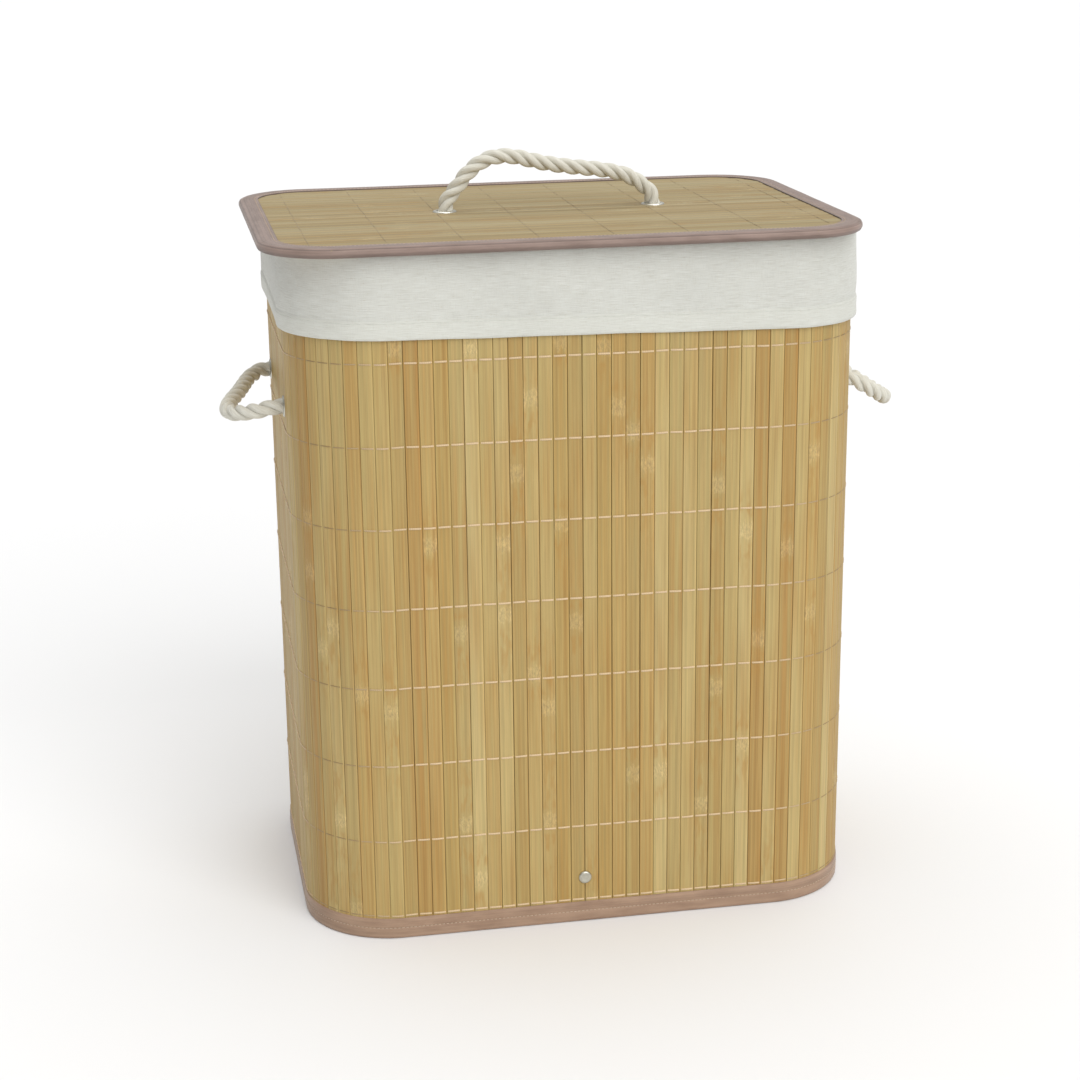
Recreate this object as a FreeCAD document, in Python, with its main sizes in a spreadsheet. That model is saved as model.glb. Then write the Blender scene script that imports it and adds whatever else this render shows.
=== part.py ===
"""Laundry hamper: a foldable wall of bamboo slats on cloth, with a base board that flips up,
a lift-out cotton liner whose cuff folds over the rim, a loose lid and three rope handles.

Millimetres, +Z up, +Y towards the back. The origin is the middle of the underside, on the floor.
Every size below is a cell of the sheet "Sizes", and every sub-part is bound to those cells.
"""
import FreeCAD, Part
import math
import os
import re

import Sketcher

V = FreeCAD.Vector

SIZES = [
    # wall
    ("body_width", 400.0, "outside width of the slat wall"),
    ("body_depth", 270.0, "outside depth of the slat wall"),
    ("body_corner", 64.0, "outside corner radius of the slat wall"),
    ("slat_length", 486.0, "length of one wall slat"),
    ("slat_thickness", 2.0, "thickness of a wall slat"),
    ("slat_gap", 0.4, "gap between two slats"),
    ("front_slat_count", 27, "slats across the flat of the front, and of the back"),
    ("side_slat_count", 14, "slats across the flat of one side"),
    ("corner_slat_count", 10, "slats around one corner"),
    ("backing_thickness", 0.6, "cloth that the slats are glued to"),
    ("tape_thickness", 0.9, "binding tape"),
    ("tape_width", 15.0, "height of the binding at the base and the rim"),
    ("thread_depth", 0.4, "how far the stitching stands off the slats"),
    ("thread_height", 0.9, "height of one row of stitching"),
    ("thread_row_count", 8, "rows of stitching around the wall"),
    ("first_row_rise", 2.1, "lowest row, above the base binding"),
    ("top_row_drop", 71.7, "highest row, below the rim"),
    # base
    ("cloth_thickness", 0.6, "cloth that covers the base and lines the lid"),
    ("board_thickness", 3.0, "base board"),
    ("strip_thickness", 0.8, "cloth of the base hinge and the flap"),
    ("hinge_width", 240.0, "width of the base's cloth hinge"),
    ("hinge_depth", 25.0, "length of the hinge's leg on the base"),
    ("hinge_height", 30.0, "height of the hinge's leg on the back wall"),
    ("flap_width", 44.0, "width of the flap that snaps to the front wall"),
    ("flap_depth", 30.0, "length of the flap's leg on the base"),
    ("flap_height", 48.0, "height of the flap's leg on the front wall"),
    # snap fastener
    ("snap_height", 34.0, "height of the snap fastener"),
    ("cap_diameter", 9.5, "snap's outer cap"),
    ("cap_top_diameter", 6.4, "flat of the outer cap"),
    ("cap_thickness", 1.6, "height of the outer cap"),
    ("post_diameter", 3.0, "post of the outer cap, and the stud's nub"),
    ("stud_diameter", 9.0, "plate of the snap's inner stud"),
    ("stud_thickness", 0.5, "plate of the snap's inner stud"),
    ("socket_diameter", 10.0, "snap's socket on the flap"),
    ("socket_thickness", 2.0, "snap's socket on the flap"),
    # ropes
    ("rope_diameter", 11.0, "cotton rope of all three handles"),
    ("handle_rise", 15.9, "side handles' holes, above the highest row of stitching but one"),
    ("handle_spacing", 126.0, "distance between a side handle's holes"),
    ("left_droop", 15.0, "how far the left loop hangs below level, degrees"),
    ("right_droop", 32.0, "how far the right loop hangs below level, degrees"),
    ("lid_handle_spacing", 152.0, "distance between the lid handle's holes"),
    ("lid_handle_right", 9.4, "lid handle's middle, to the right of the lid's middle"),
    ("lid_handle_back", 4.1, "lid handle's line, behind the lid's middle"),
    ("knot_slack", 1.1, "rope's turn around itself in a knot, beyond the rope's radius"),
    ("tail_past_knot", 7.3, "cut end of the rope, past its knot"),
    ("side_lip", 1.3, "flange of a side eyelet, beyond its hole"),
    ("lid_lip", 2.3, "flange of a lid eyelet, beyond its hole"),
    ("flange_thickness", 0.8, "flange of an eyelet"),
    ("eyelet_wall", 0.5, "wall of an eyelet's barrel"),
    ("rope_play", 0.2, "play between rope and eyelet, and around a post"),
    # liner
    ("liner_thickness", 1.0, "cotton of the liner"),
    ("bag_side_play", 5.0, "hanging bag to the tails of the side handles' ropes"),
    ("bag_front_gap", 12.0, "hanging bag, in from the wall's front and back"),
    ("bag_corner_less", 14.0, "bag's corner radius, less than the wall's"),
    ("shoulder_low_drop", 91.8, "where the bag starts to widen, below the rim"),
    ("shoulder_high_drop", 45.8, "where the bag reaches the wall, below the rim"),
    ("cuff_drop", 59.0, "how far the cuff hangs down outside the rim"),
    ("cuff_gap", 0.6, "gap between the cuff and the rim's binding"),
    # lid
    ("lid_side_overhang", 6.8, "half of what the lid is wider than the wall"),
    ("lid_front_overhang", 14.0, "half of what the lid is deeper than the wall"),
    ("lid_corner_less", 13.0, "lid's corner radius, less than the wall's"),
    ("lid_left", 9.4, "how far left of the middle the lid lies"),
    ("lid_front", 3.1, "how far in front of the middle the lid lies"),
    ("lid_slat_thickness", 2.0, "thickness of a lid slat"),
    ("lid_slat_count", 29, "slats from the lid's front to its back"),
    ("lid_board_thickness", 2.4, "board inside the lid"),
    ("lid_tape_width", 14.5, "width of the binding on the lid's faces"),
    ("lid_row_pitch", 50.5, "distance between two rows of stitching on the lid"),
    ("lid_row_left", 6.55, "the row beside the left eyelet, to the left of its middle"),
    ("lid_row_margin", 25.0, "least distance from a row to the lid's left or right edge"),
    # clearance
    ("fit_gap", 0.3, "clearance between pieces that move or are laid on each other"),
]

# Loops of the side handles: along the wall (+Y), and out from it in the loop's own plane.
# The first and last points are on the pivot line, so only the points between are listed.
LEFT_ROUTE = [(-61.5, 15.0), (-55.0, 26.0), (-43.5, 36.5), (-24.0, 39.5), (-4.0, 34.0),
              (15.0, 27.0), (34.0, 22.3), (50.0, 17.5), (58.5, 12.0)]
RIGHT_ROUTE = [(-62.5, 18.0), (-57.5, 32.0), (-46.5, 44.5), (-29.0, 52.5), (-8.0, 55.5),
               (14.0, 52.5), (33.5, 43.5), (49.5, 31.0), (59.5, 18.5)]
# Loop of the lid's handle: across the lid (+X) from the handle's middle, and up from its face.
LID_ROUTE = [(-68.5, 15.0), (-58.5, 28.0), (-45.5, 37.0), (-28.5, 38.5), (-7.0, 32.5),
             (16.0, 28.6), (38.0, 26.2), (56.5, 22.0), (69.0, 14.0)]

doc = FreeCAD.newDocument("LaundryHamper")
sheet = doc.addObject("Spreadsheet::Sheet", "Sizes")
for row, (alias, number, meaning) in enumerate(SIZES, start=1):
    sheet.set(f"A{row}", meaning)
    sheet.set(f"B{row}", str(number))
    sheet.setAlias(f"B{row}", alias)
doc.recompute()

ALIASES = {alias for alias, _, _ in SIZES}
NODES = []

# Formulas that several pieces share, in the sheet's words.
WALL_INNER = "(slat_thickness + backing_thickness)"
BINDING_INNER = "(slat_thickness + backing_thickness + tape_thickness)"
RIM_TOP = "(slat_length + 2 * tape_thickness)"
FIRST_ROW = "(tape_width + first_row_rise)"
ROW_PITCH = f"(({RIM_TOP} - top_row_drop - {FIRST_ROW}) / (thread_row_count - 1))"
FRONT_PITCH = "((body_width - 2 * body_corner) / front_slat_count)"
SIDE_PITCH = "((body_depth - 2 * body_corner) / side_slat_count)"
BASE_INSET = "(slat_thickness + backing_thickness + tape_thickness + fit_gap)"
BASE_TOP = "(board_thickness + 2 * cloth_thickness)"
LINER_FLOOR = "(board_thickness + 2 * cloth_thickness + strip_thickness + fit_gap)"
LINER_TOP = "(slat_length + 2 * tape_thickness + fit_gap + liner_thickness)"
CUFF_INSET = "(-(tape_thickness + cuff_gap + liner_thickness))"
MOUTH_INSET = "(slat_thickness + backing_thickness + tape_thickness + cuff_gap)"
LID_BOTTOM = "(slat_length + 2 * tape_thickness + liner_thickness + 2 * fit_gap)"
LID_LINING_TOP = f"({LID_BOTTOM} + tape_thickness + cloth_thickness)"
LID_BOARD_TOP = f"({LID_LINING_TOP} + lid_board_thickness)"
LID_FACE = f"({LID_BOARD_TOP} + lid_slat_thickness)"
LID_TOP = f"({LID_FACE} + tape_thickness)"
ROPE_RADIUS = "(rope_diameter / 2)"
HOLE_RADIUS = "(rope_diameter / 2 + rope_play + eyelet_wall)"
PIVOT_OUT = "(flange_thickness + fit_gap + rope_diameter / 2)"
SNAP_X = f"(-{FRONT_PITCH} / 2 * mod(front_slat_count; 2))"
HANDLE_HEIGHT = f"({RIM_TOP} - top_row_drop - {ROW_PITCH} + handle_rise)"
KNOT_RING = f"({ROPE_RADIUS} + knot_slack)"
TAIL_LENGTH = "(fit_gap + rope_diameter + tail_past_knot)"
BAG_SIDE_GAP = f"({WALL_INNER} + flange_thickness + {TAIL_LENGTH} + bag_side_play)"
BAG_SIZE = (f"(body_width - 2 * {BAG_SIDE_GAP})", "(body_depth - 2 * bag_front_gap)",
            "(body_corner - bag_corner_less)")
LID_WIDTH = "(body_width + 2 * lid_side_overhang)"
LID_DEPTH = "(body_depth + 2 * lid_front_overhang)"
LID_CORNER = "(body_corner - lid_corner_less)"
LID_HANDLE_X = "(lid_handle_right - lid_left)"
LID_HANDLE_Y = "(lid_handle_back - lid_front)"
LID_ROW_X = f"({LID_HANDLE_X} - lid_handle_spacing / 2 - lid_row_left)"
LEFT_ROWS = f"floor(({LID_ROW_X} + lid_left + {LID_WIDTH} / 2 - lid_row_margin) / lid_row_pitch)"
RIGHT_ROWS = f"floor(({LID_WIDTH} / 2 - lid_left - {LID_ROW_X} - lid_row_margin) / lid_row_pitch)"


def bound(formula):
    """A formula in the sheet's words, as an expression that FreeCAD binds."""
    return re.sub(r"[a-z_]+", lambda word: f"Sizes.{word[0]}" if word[0] in ALIASES else word[0],
                  str(formula))


def value(formula):
    """The number that a formula gives now."""
    return float(sheet.evalExpression(bound(formula)))


def bind(thing, name, formula):
    thing.setExpression(name, bound(formula))


def named(thing, label):
    """Keep a finished sub-part: its label names its file."""
    thing.Label = label
    NODES.append(thing)
    return thing


# ---------------------------------------------------------------- sketches and features

def new_body(label):
    body = doc.addObject("PartDesign::Body", label.title().replace("_", ""))
    body.AllowCompound = True
    return named(body, label)


def origin_feature(body, role):
    return next(item for item in body.Origin.OriginFeatures if item.Role == role)


def new_sketch(body, plane="XY_Plane", height="0"):
    sketch = body.newObject("Sketcher::SketchObject", "Sketch")
    sketch.AttachmentSupport = [(origin_feature(body, plane), "")]
    sketch.MapMode = "FlatFace"
    bind(sketch, "AttachmentOffset.Base.z", height)
    return sketch


def dimension(sketch, kind, where, formula):
    """One driving dimension of a sketch, bound to the sheet."""
    index = sketch.addConstraint(Sketcher.Constraint(kind, *where, value(formula)))
    name = f"size_{index}"
    sketch.renameConstraint(index, name)
    bind(sketch, f"Constraints.{name}", formula)


def add_rounded_rectangle(sketch, width, depth, radius, x="0", y="0"):
    """A rectangle with round corners, centred on x, y."""
    first = sketch.GeometryCount
    half_w, half_d, r = value(width) / 2, value(depth) / 2, value(radius)
    centre = V(value(x), value(y), 0)
    corners = [(half_w - r, half_d - r, 0), (r - half_w, half_d - r, 90),
               (r - half_w, r - half_d, 180), (half_w - r, r - half_d, 270)]
    ends = []
    for corner_x, corner_y, start in corners:
        middle = centre + V(corner_x, corner_y, 0)
        low, high = math.radians(start), math.radians(start + 90)
        sketch.addGeometry(Part.ArcOfCircle(Part.Circle(middle, V(0, 0, 1), r), low, high))
        ends.append((middle + V(r * math.cos(low), r * math.sin(low), 0),
                     middle + V(r * math.cos(high), r * math.sin(high), 0)))
    for index in range(4):
        sketch.addGeometry(Part.LineSegment(ends[index][1], ends[(index + 1) % 4][0]))
    for index in range(4):
        arc, line, following = first + index, first + 4 + index, first + (index + 1) % 4
        sketch.addConstraint(Sketcher.Constraint("Tangent", arc, 2, line, 1))
        sketch.addConstraint(Sketcher.Constraint("Tangent", line, 2, following, 1))
        direction = ("Horizontal", "Vertical")[index % 2]
        sketch.addConstraint(Sketcher.Constraint(direction, line))
        if index:
            sketch.addConstraint(Sketcher.Constraint("Equal", first, arc))
    dimension(sketch, "Radius", (first,), radius)
    dimension(sketch, "DistanceY", (-1, 1, first + 4, 1), f"{depth} / 2 + {y}")
    dimension(sketch, "DistanceX", (first + 5, 1, -1, 1), f"{width} / 2 - {x}")
    dimension(sketch, "DistanceY", (first + 6, 1, -1, 1), f"{depth} / 2 - {y}")
    dimension(sketch, "DistanceX", (-1, 1, first + 7, 1), f"{width} / 2 + {x}")


def add_wall_outline(sketch, inset):
    """The wall's rounded outline, moved in by a formula."""
    add_rounded_rectangle(sketch, f"(body_width - 2 * {inset})", f"(body_depth - 2 * {inset})",
                          f"(body_corner - {inset})")


def add_lid_outline(sketch, inset):
    add_rounded_rectangle(sketch, f"({LID_WIDTH} - 2 * {inset})", f"({LID_DEPTH} - 2 * {inset})",
                          f"({LID_CORNER} - {inset})", "(-lid_left)", "(-lid_front)")


def add_rectangle(sketch, left, right, low, high):
    """A plain rectangle between four formulas, each a coordinate."""
    first = sketch.GeometryCount
    points = [V(value(left), value(low), 0), V(value(right), value(low), 0),
              V(value(right), value(high), 0), V(value(left), value(high), 0)]
    for index in range(4):
        sketch.addGeometry(Part.LineSegment(points[index], points[(index + 1) % 4]))
    for index in range(4):
        line, following = first + index, first + (index + 1) % 4
        sketch.addConstraint(Sketcher.Constraint("Coincident", line, 2, following, 1))
        direction = ("Horizontal", "Vertical")[index % 2]
        sketch.addConstraint(Sketcher.Constraint(direction, line))
    dimension(sketch, "DistanceX", (-1, 1, first, 1), left)
    dimension(sketch, "DistanceX", (-1, 1, first + 1, 1), right)
    dimension(sketch, "DistanceY", (-1, 1, first, 1), low)
    dimension(sketch, "DistanceY", (-1, 1, first + 2, 1), high)


def add_circle(sketch, x, y, radius):
    index = sketch.addGeometry(Part.Circle(V(value(x), value(y), 0), V(0, 0, 1), value(radius)))
    dimension(sketch, "Radius", (index,), radius)
    dimension(sketch, "DistanceX", (-1, 1, index, 3), x)
    dimension(sketch, "DistanceY", (-1, 1, index, 3), y)


def pad(body, sketch, length):
    feature = body.newObject("PartDesign::Pad", "Pad")
    feature.Profile = sketch
    bind(feature, "Length", length)
    body.Tip = feature
    doc.recompute()
    return feature


def pocket(body, sketch, length=None):
    """Cut a sketch upwards by a length, or right through both ways when there is none."""
    before = body.Tip.Shape.Volume
    feature = body.newObject("PartDesign::Pocket", "Pocket")
    feature.Profile = sketch
    if length is None:
        feature.Type = "ThroughAll"
        feature.Midplane = True
    else:
        feature.Reversed = True
        bind(feature, "Length", length)
    body.Tip = feature
    doc.recompute()
    if feature.Shape.Volume > before - 1e-3:
        raise ValueError(f"{body.Label}: a pocket cuts nothing")
    return feature


def row(body, feature, axis, count, pitch):
    pattern = body.newObject("PartDesign::LinearPattern", "Row")
    pattern.Originals = [feature]
    pattern.Direction = (origin_feature(body, axis), [""])
    bind(pattern, "Length", f"({count} - 1) * {pitch}")
    bind(pattern, "Occurrences", count)
    body.Tip = pattern
    doc.recompute()
    return pattern


# ---------------------------------------------------------------- primitives

TURNS = {"x": FreeCAD.Rotation(V(0, 1, 0), 90), "y": FreeCAD.Rotation(V(1, 0, 0), -90),
         "z": FreeCAD.Rotation()}


def place(thing, at, along="z"):
    """Put a primitive at three formulas, with its own Z along an axis."""
    thing.Placement = FreeCAD.Placement(V(), TURNS[along])
    for axis, formula in zip("xyz", at):
        bind(thing, f"Placement.Base.{axis}", formula)
    return thing


def box(low, sizes):
    thing = doc.addObject("Part::Box", "Box")
    for name, formula in zip(("Length", "Width", "Height"), sizes):
        bind(thing, name, formula)
    return place(thing, low)


def cylinder(at, along, radius, length):
    thing = doc.addObject("Part::Cylinder", "Cylinder")
    bind(thing, "Radius", radius)
    bind(thing, "Height", length)
    return place(thing, at, along)


def torus(at, along, ring, radius):
    thing = doc.addObject("Part::Torus", "Torus")
    bind(thing, "Radius1", ring)
    bind(thing, "Radius2", radius)
    return place(thing, at, along)


def fuse(things):
    joined = doc.addObject("Part::MultiFuse", "Fuse")
    joined.Shapes = things
    joined.Refine = True
    return joined


def cut(base, tool):
    result = doc.addObject("Part::Cut", "Cut")
    result.Base = base
    result.Tool = tool
    return result


def group(things):
    compound = doc.addObject("Part::Compound", "Group")
    compound.Links = things
    return compound


# ---------------------------------------------------------------- wall

def flat_slats(label, across, low_corner, size, count, pitch, holes):
    """Slats side by side along one flat of the wall; holes is a function that cuts them."""
    body = new_body(label)
    sketch = new_sketch(body, height="tape_thickness")
    left, low = low_corner
    add_rectangle(sketch, left, f"({left} + {size[0]})", low, f"({low} + {size[1]})")
    row(body, pad(body, sketch, "slat_length"), across, count, pitch)
    if holes:
        holes(body)


def cut_rope_holes(body):
    sketch = new_sketch(body, "YZ_Plane")
    for side in ("-", ""):
        add_circle(sketch, f"({side}handle_spacing / 2)", HANDLE_HEIGHT, HOLE_RADIUS)
    pocket(body, sketch)


def cut_snap_hole(body):
    """The post's hole through the front only: the sketch plane lies on the front face."""
    sketch = new_sketch(body, "XZ_Plane", "body_depth / 2")
    add_circle(sketch, SNAP_X, "snap_height", "(post_diameter / 2 + rope_play)")
    before = body.Tip.Shape.Volume
    feature = body.newObject("PartDesign::Pocket", "SnapHole")
    feature.Profile = sketch
    bind(feature, "Length", WALL_INNER)
    body.Tip = feature
    doc.recompute()
    if feature.Shape.Volume > before - 1e-3:
        raise ValueError(f"{body.Label}: the snap's hole cuts nothing")


def corner_slats(label, turn, side_x, side_y):
    """One corner's slats, each a slice of a ring about the corner's own centre."""
    body = new_body(label)
    body.Placement = FreeCAD.Placement(V(), FreeCAD.Rotation(V(0, 0, 1), turn))
    bind(body, "Placement.Base.x", f"{side_x} * (body_width / 2 - body_corner)")
    bind(body, "Placement.Base.y", f"{side_y} * (body_depth / 2 - body_corner)")
    sketch = new_sketch(body, height="tape_thickness")
    step = "(90 / corner_slat_count)"
    half_gap = "(slat_gap / 2 / body_corner * 180 / pi)"
    angles = (half_gap, f"({step} - {half_gap})")
    radii = ("body_corner", "(body_corner - slat_thickness)")
    low, high = (math.radians(value(angle)) for angle in angles)
    for radius in radii:
        circle = Part.Circle(V(), V(0, 0, 1), value(radius))
        sketch.addGeometry(Part.ArcOfCircle(circle, low, high))
    for angle in (low, high):
        outward = V(math.cos(angle), math.sin(angle), 0)
        sketch.addGeometry(Part.LineSegment(outward * value(radii[1]), outward * value(radii[0])))
    for arc, radius in enumerate(radii):
        sketch.addConstraint(Sketcher.Constraint("Coincident", arc, 3, -1, 1))
        for line, end in ((2, 1), (3, 2)):
            sketch.addConstraint(Sketcher.Constraint("Coincident", line, 2 - arc, arc, end))
        dimension(sketch, "Radius", (arc,), radius)
    for line, angle in zip((2, 3), angles):
        sketch.addConstraint(Sketcher.Constraint("PointOnObject", -1, 1, line))
        dimension(sketch, "Angle", (line,), angle)
    slat = pad(body, sketch, "slat_length")
    pattern = body.newObject("PartDesign::PolarPattern", "Turn")
    pattern.Originals = [slat]
    pattern.Axis = (origin_feature(body, "Z_Axis"), [""])
    bind(pattern, "Angle", f"{step} * (corner_slat_count - 1)")
    bind(pattern, "Occurrences", "corner_slat_count")
    body.Tip = pattern
    doc.recompute()


def make_slats():
    front_size = (f"({FRONT_PITCH} - slat_gap)", "slat_thickness")
    side_size = ("slat_thickness", f"({SIDE_PITCH} - slat_gap)")
    flat_left = "(body_corner - body_width / 2 + slat_gap / 2)"
    flat_front = "(body_corner - body_depth / 2 + slat_gap / 2)"
    flat_slats("front_slats", "X_Axis", (flat_left, "(-body_depth / 2)"), front_size,
               "front_slat_count", FRONT_PITCH, cut_snap_hole)
    flat_slats("back_slats", "X_Axis", (flat_left, "(body_depth / 2 - slat_thickness)"),
               front_size, "front_slat_count", FRONT_PITCH, None)
    flat_slats("left_slats", "Y_Axis", ("(-body_width / 2)", flat_front), side_size,
               "side_slat_count", SIDE_PITCH, cut_rope_holes)
    flat_slats("right_slats", "Y_Axis", ("(body_width / 2 - slat_thickness)", flat_front),
               side_size, "side_slat_count", SIDE_PITCH, cut_rope_holes)
    corner_slats("back_right_corner_slats", 0, 1, 1)
    corner_slats("back_left_corner_slats", 90, -1, 1)
    corner_slats("front_left_corner_slats", 180, -1, -1)
    corner_slats("front_right_corner_slats", 270, 1, -1)


def make_wall_cloth():
    backing = new_body("wall_backing")
    sketch = new_sketch(backing, height="tape_thickness")
    add_wall_outline(sketch, "slat_thickness")
    add_wall_outline(sketch, WALL_INNER)
    pad(backing, sketch, "slat_length")
    cut_rope_holes(backing)
    cut_snap_hole(backing)

    for label, low, slot_low in (
            ("base_binding", "0", "tape_thickness"),
            ("rim_binding", f"({RIM_TOP} - tape_width)", f"({RIM_TOP} - tape_width)")):
        body = new_body(label)
        sketch = new_sketch(body, height=low)
        add_wall_outline(sketch, "(-tape_thickness)")
        add_wall_outline(sketch, BINDING_INNER)
        pad(body, sketch, "tape_width")
        slot = new_sketch(body, height=slot_low)
        add_wall_outline(slot, "0")
        add_wall_outline(slot, WALL_INNER)
        pocket(body, slot, "(tape_width - tape_thickness)")


def make_wall_threads():
    """Rows of stitching: thin hoops of thread that lie on the slats."""
    body = new_body("wall_stitching")
    sketch = new_sketch(body, height=f"({FIRST_ROW} - thread_height / 2)")
    add_wall_outline(sketch, "(-thread_depth)")
    add_wall_outline(sketch, "0")
    hoop = pad(body, sketch, "thread_height")
    row(body, hoop, "Z_Axis", "thread_row_count", ROW_PITCH)


# ---------------------------------------------------------------- base

def make_base():
    cover = new_body("base_cover")
    sketch = new_sketch(cover)
    add_wall_outline(sketch, BASE_INSET)
    pad(cover, sketch, BASE_TOP)
    hollow = new_sketch(cover, height="cloth_thickness")
    add_wall_outline(hollow, f"({BASE_INSET} + cloth_thickness)")
    pocket(cover, hollow, "(board_thickness + cloth_thickness)")
    for label, low, thickness in (
            ("base_board", "cloth_thickness", "board_thickness"),
            ("base_top_cloth", "(cloth_thickness + board_thickness)", "cloth_thickness")):
        body = new_body(label)
        sketch = new_sketch(body, height=low)
        add_wall_outline(sketch, f"({BASE_INSET} + cloth_thickness)")
        pad(body, sketch, thickness)


def cloth_angle(width, depth, leg_height, front):
    """An L of cloth: one leg on the base, one up against the wall at the front or the back."""
    face = f"(body_depth / 2 - {BINDING_INNER})"
    start = f"(-{face})" if front else f"({face} - {depth})"
    upright = f"(-{face})" if front else f"({face} - strip_thickness)"
    flat_leg = box((f"(-{width} / 2)", start, BASE_TOP), (width, depth, "strip_thickness"))
    tall_leg = box((f"(-{width} / 2)", upright, BASE_TOP),
                   (width, "strip_thickness", f"({leg_height} - {BASE_TOP})"))
    return fuse([flat_leg, tall_leg])


def make_base_cloth():
    named(cloth_angle("hinge_width", "hinge_depth", "hinge_height", False), "base_hinge_strip")
    flap = cloth_angle("flap_width", "flap_depth", "flap_height", True)
    hole = cylinder((SNAP_X, "(-body_depth / 2)", "snap_height"), "y",
                    "(post_diameter / 2 + rope_play)", f"({BINDING_INNER} + 2 * strip_thickness)")
    named(cut(flap, hole), "base_flap")


def make_snap():
    """Snap fastener through the front wall, behind its small round cap."""
    front = "(-body_depth / 2)"
    inner = f"({front} + {WALL_INNER})"
    flap_inner = f"({front} + {BINDING_INNER} + strip_thickness)"
    cap = doc.addObject("Part::Cone", "Cap")
    bind(cap, "Radius1", "cap_top_diameter / 2")
    bind(cap, "Radius2", "cap_diameter / 2")
    bind(cap, "Height", "cap_thickness")
    place(cap, (SNAP_X, f"({front} - cap_thickness)", "snap_height"), "y")
    post = cylinder((SNAP_X, front, "snap_height"), "y", "post_diameter / 2", WALL_INNER)
    named(fuse([cap, post]), "snap_cap")

    plate = cylinder((SNAP_X, inner, "snap_height"), "y", "stud_diameter / 2", "stud_thickness")
    nub_length = f"({BINDING_INNER} + strip_thickness + socket_thickness / 2 - {WALL_INNER})"
    nub = cylinder((SNAP_X, inner, "snap_height"), "y", "post_diameter / 2", nub_length)
    named(fuse([plate, nub]), "snap_stud")

    ring = cylinder((SNAP_X, flap_inner, "snap_height"), "y", "socket_diameter / 2",
                    "socket_thickness")
    seat = cylinder((SNAP_X, flap_inner, "snap_height"), "y", "(post_diameter / 2 + rope_play)",
                    "(socket_thickness / 2 + rope_play)")
    named(cut(ring, seat), "snap_socket")


# ---------------------------------------------------------------- ropes

def eyelet(along, face, inner_face, across, lip):
    """A flanged ring through a wall. face and inner_face are coordinates on its own axis."""
    def at(start):
        place_at = {"x": (start, *across), "z": (*across, start)}
        return place_at[along]

    outward = f"({face} + flange_thickness)"
    inward = f"({inner_face} - flange_thickness)"
    flange_radius = f"({HOLE_RADIUS} + {lip})"
    barrel = cylinder(at(inward), along, HOLE_RADIUS, f"({outward} - {inward})")
    outer = cylinder(at(face), along, flange_radius, "flange_thickness")
    inner = cylinder(at(inward), along, flange_radius, "flange_thickness")
    bore = cylinder(at(inward), along, f"({ROPE_RADIUS} + rope_play)", f"({outward} - {inward})")
    return cut(fuse([barrel, outer, inner]), bore)


def rope_end(along, inward, outer_end, eyelet_end, across):
    """Rope through the eyelet to its knot: inward is -1 or 1 on the rope's own axis."""
    tail_end = f"({eyelet_end} + {inward} * {TAIL_LENGTH})"
    knot_at = f"({eyelet_end} + {inward} * (fit_gap + {ROPE_RADIUS}))"
    low, high = (tail_end, outer_end) if inward < 0 else (outer_end, tail_end)
    at = {"x": lambda start: (start, *across), "z": lambda start: (*across, start)}[along]
    shank = cylinder(at(low), along, ROPE_RADIUS, f"({high} - {low})")
    return fuse([shank, torus(at(knot_at), along, KNOT_RING, ROPE_RADIUS)])


def make_side_fittings(side, sign):
    """Eyelets and knotted rope ends of one side handle; sign is the side's sign on X."""
    outer, inner = "(body_width / 2)", f"(body_width / 2 - {WALL_INNER})"
    if sign > 0:
        face, inner_face = outer, inner
        outer_end, eyelet_end = f"({outer} + flange_thickness)", f"({inner} - flange_thickness)"
    else:
        face, inner_face = f"(-{inner})", f"(-{outer})"
        outer_end, eyelet_end = f"(-{outer} - flange_thickness)", f"(-{inner} + flange_thickness)"
    rings, ends = [], []
    for hole in ("(-handle_spacing / 2)", "(handle_spacing / 2)"):
        across = (hole, HANDLE_HEIGHT)
        rings.append(eyelet("x", face, inner_face, across, "side_lip"))
        ends.append(rope_end("x", -sign, outer_end, eyelet_end, across))
    named(group(rings), f"{side}_eyelets")
    named(group(ends), f"{side}_rope_ends")


def make_lid_fittings():
    inner = f"({LID_BOTTOM} + tape_thickness)"
    rings, ends = [], []
    for side in ("-", "+"):
        across = (f"({LID_HANDLE_X} {side} lid_handle_spacing / 2)", LID_HANDLE_Y)
        rings.append(eyelet("z", LID_FACE, inner, across, "lid_lip"))
        ends.append(rope_end("z", -1, f"({LID_FACE} + flange_thickness)",
                             f"({inner} - flange_thickness)", across))
    named(group(rings), "lid_eyelets")
    named(group(ends), "lid_rope_ends")


def rope_path(points, label):
    """Straight runs joined by tangent arcs, each arc as large as its two runs allow."""
    edges, radii, start = [], [], points[0]
    for before, corner, after in zip(points, points[1:], points[2:]):
        arriving, leaving = corner - before, after - corner
        reach = 0.45 * min(arriving.Length, leaving.Length)
        half_turn = arriving.getAngle(leaving) / 2
        arriving.normalize()
        leaving.normalize()
        first, last = corner - arriving * reach, corner + leaving * reach
        radius = reach / math.tan(half_turn)
        toward = (leaving - arriving).normalize()
        middle = corner + toward * (radius / math.cos(half_turn) - radius)
        edges.append(Part.LineSegment(start, first).toShape())
        edges.append(Part.Arc(first, middle, last).toShape())
        radii.append(round(radius, 1))
        start = last
    edges.append(Part.LineSegment(start, points[-1]).toShape())
    print(f"{label}: radii {radii}")
    return Part.Wire(edges)


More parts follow.
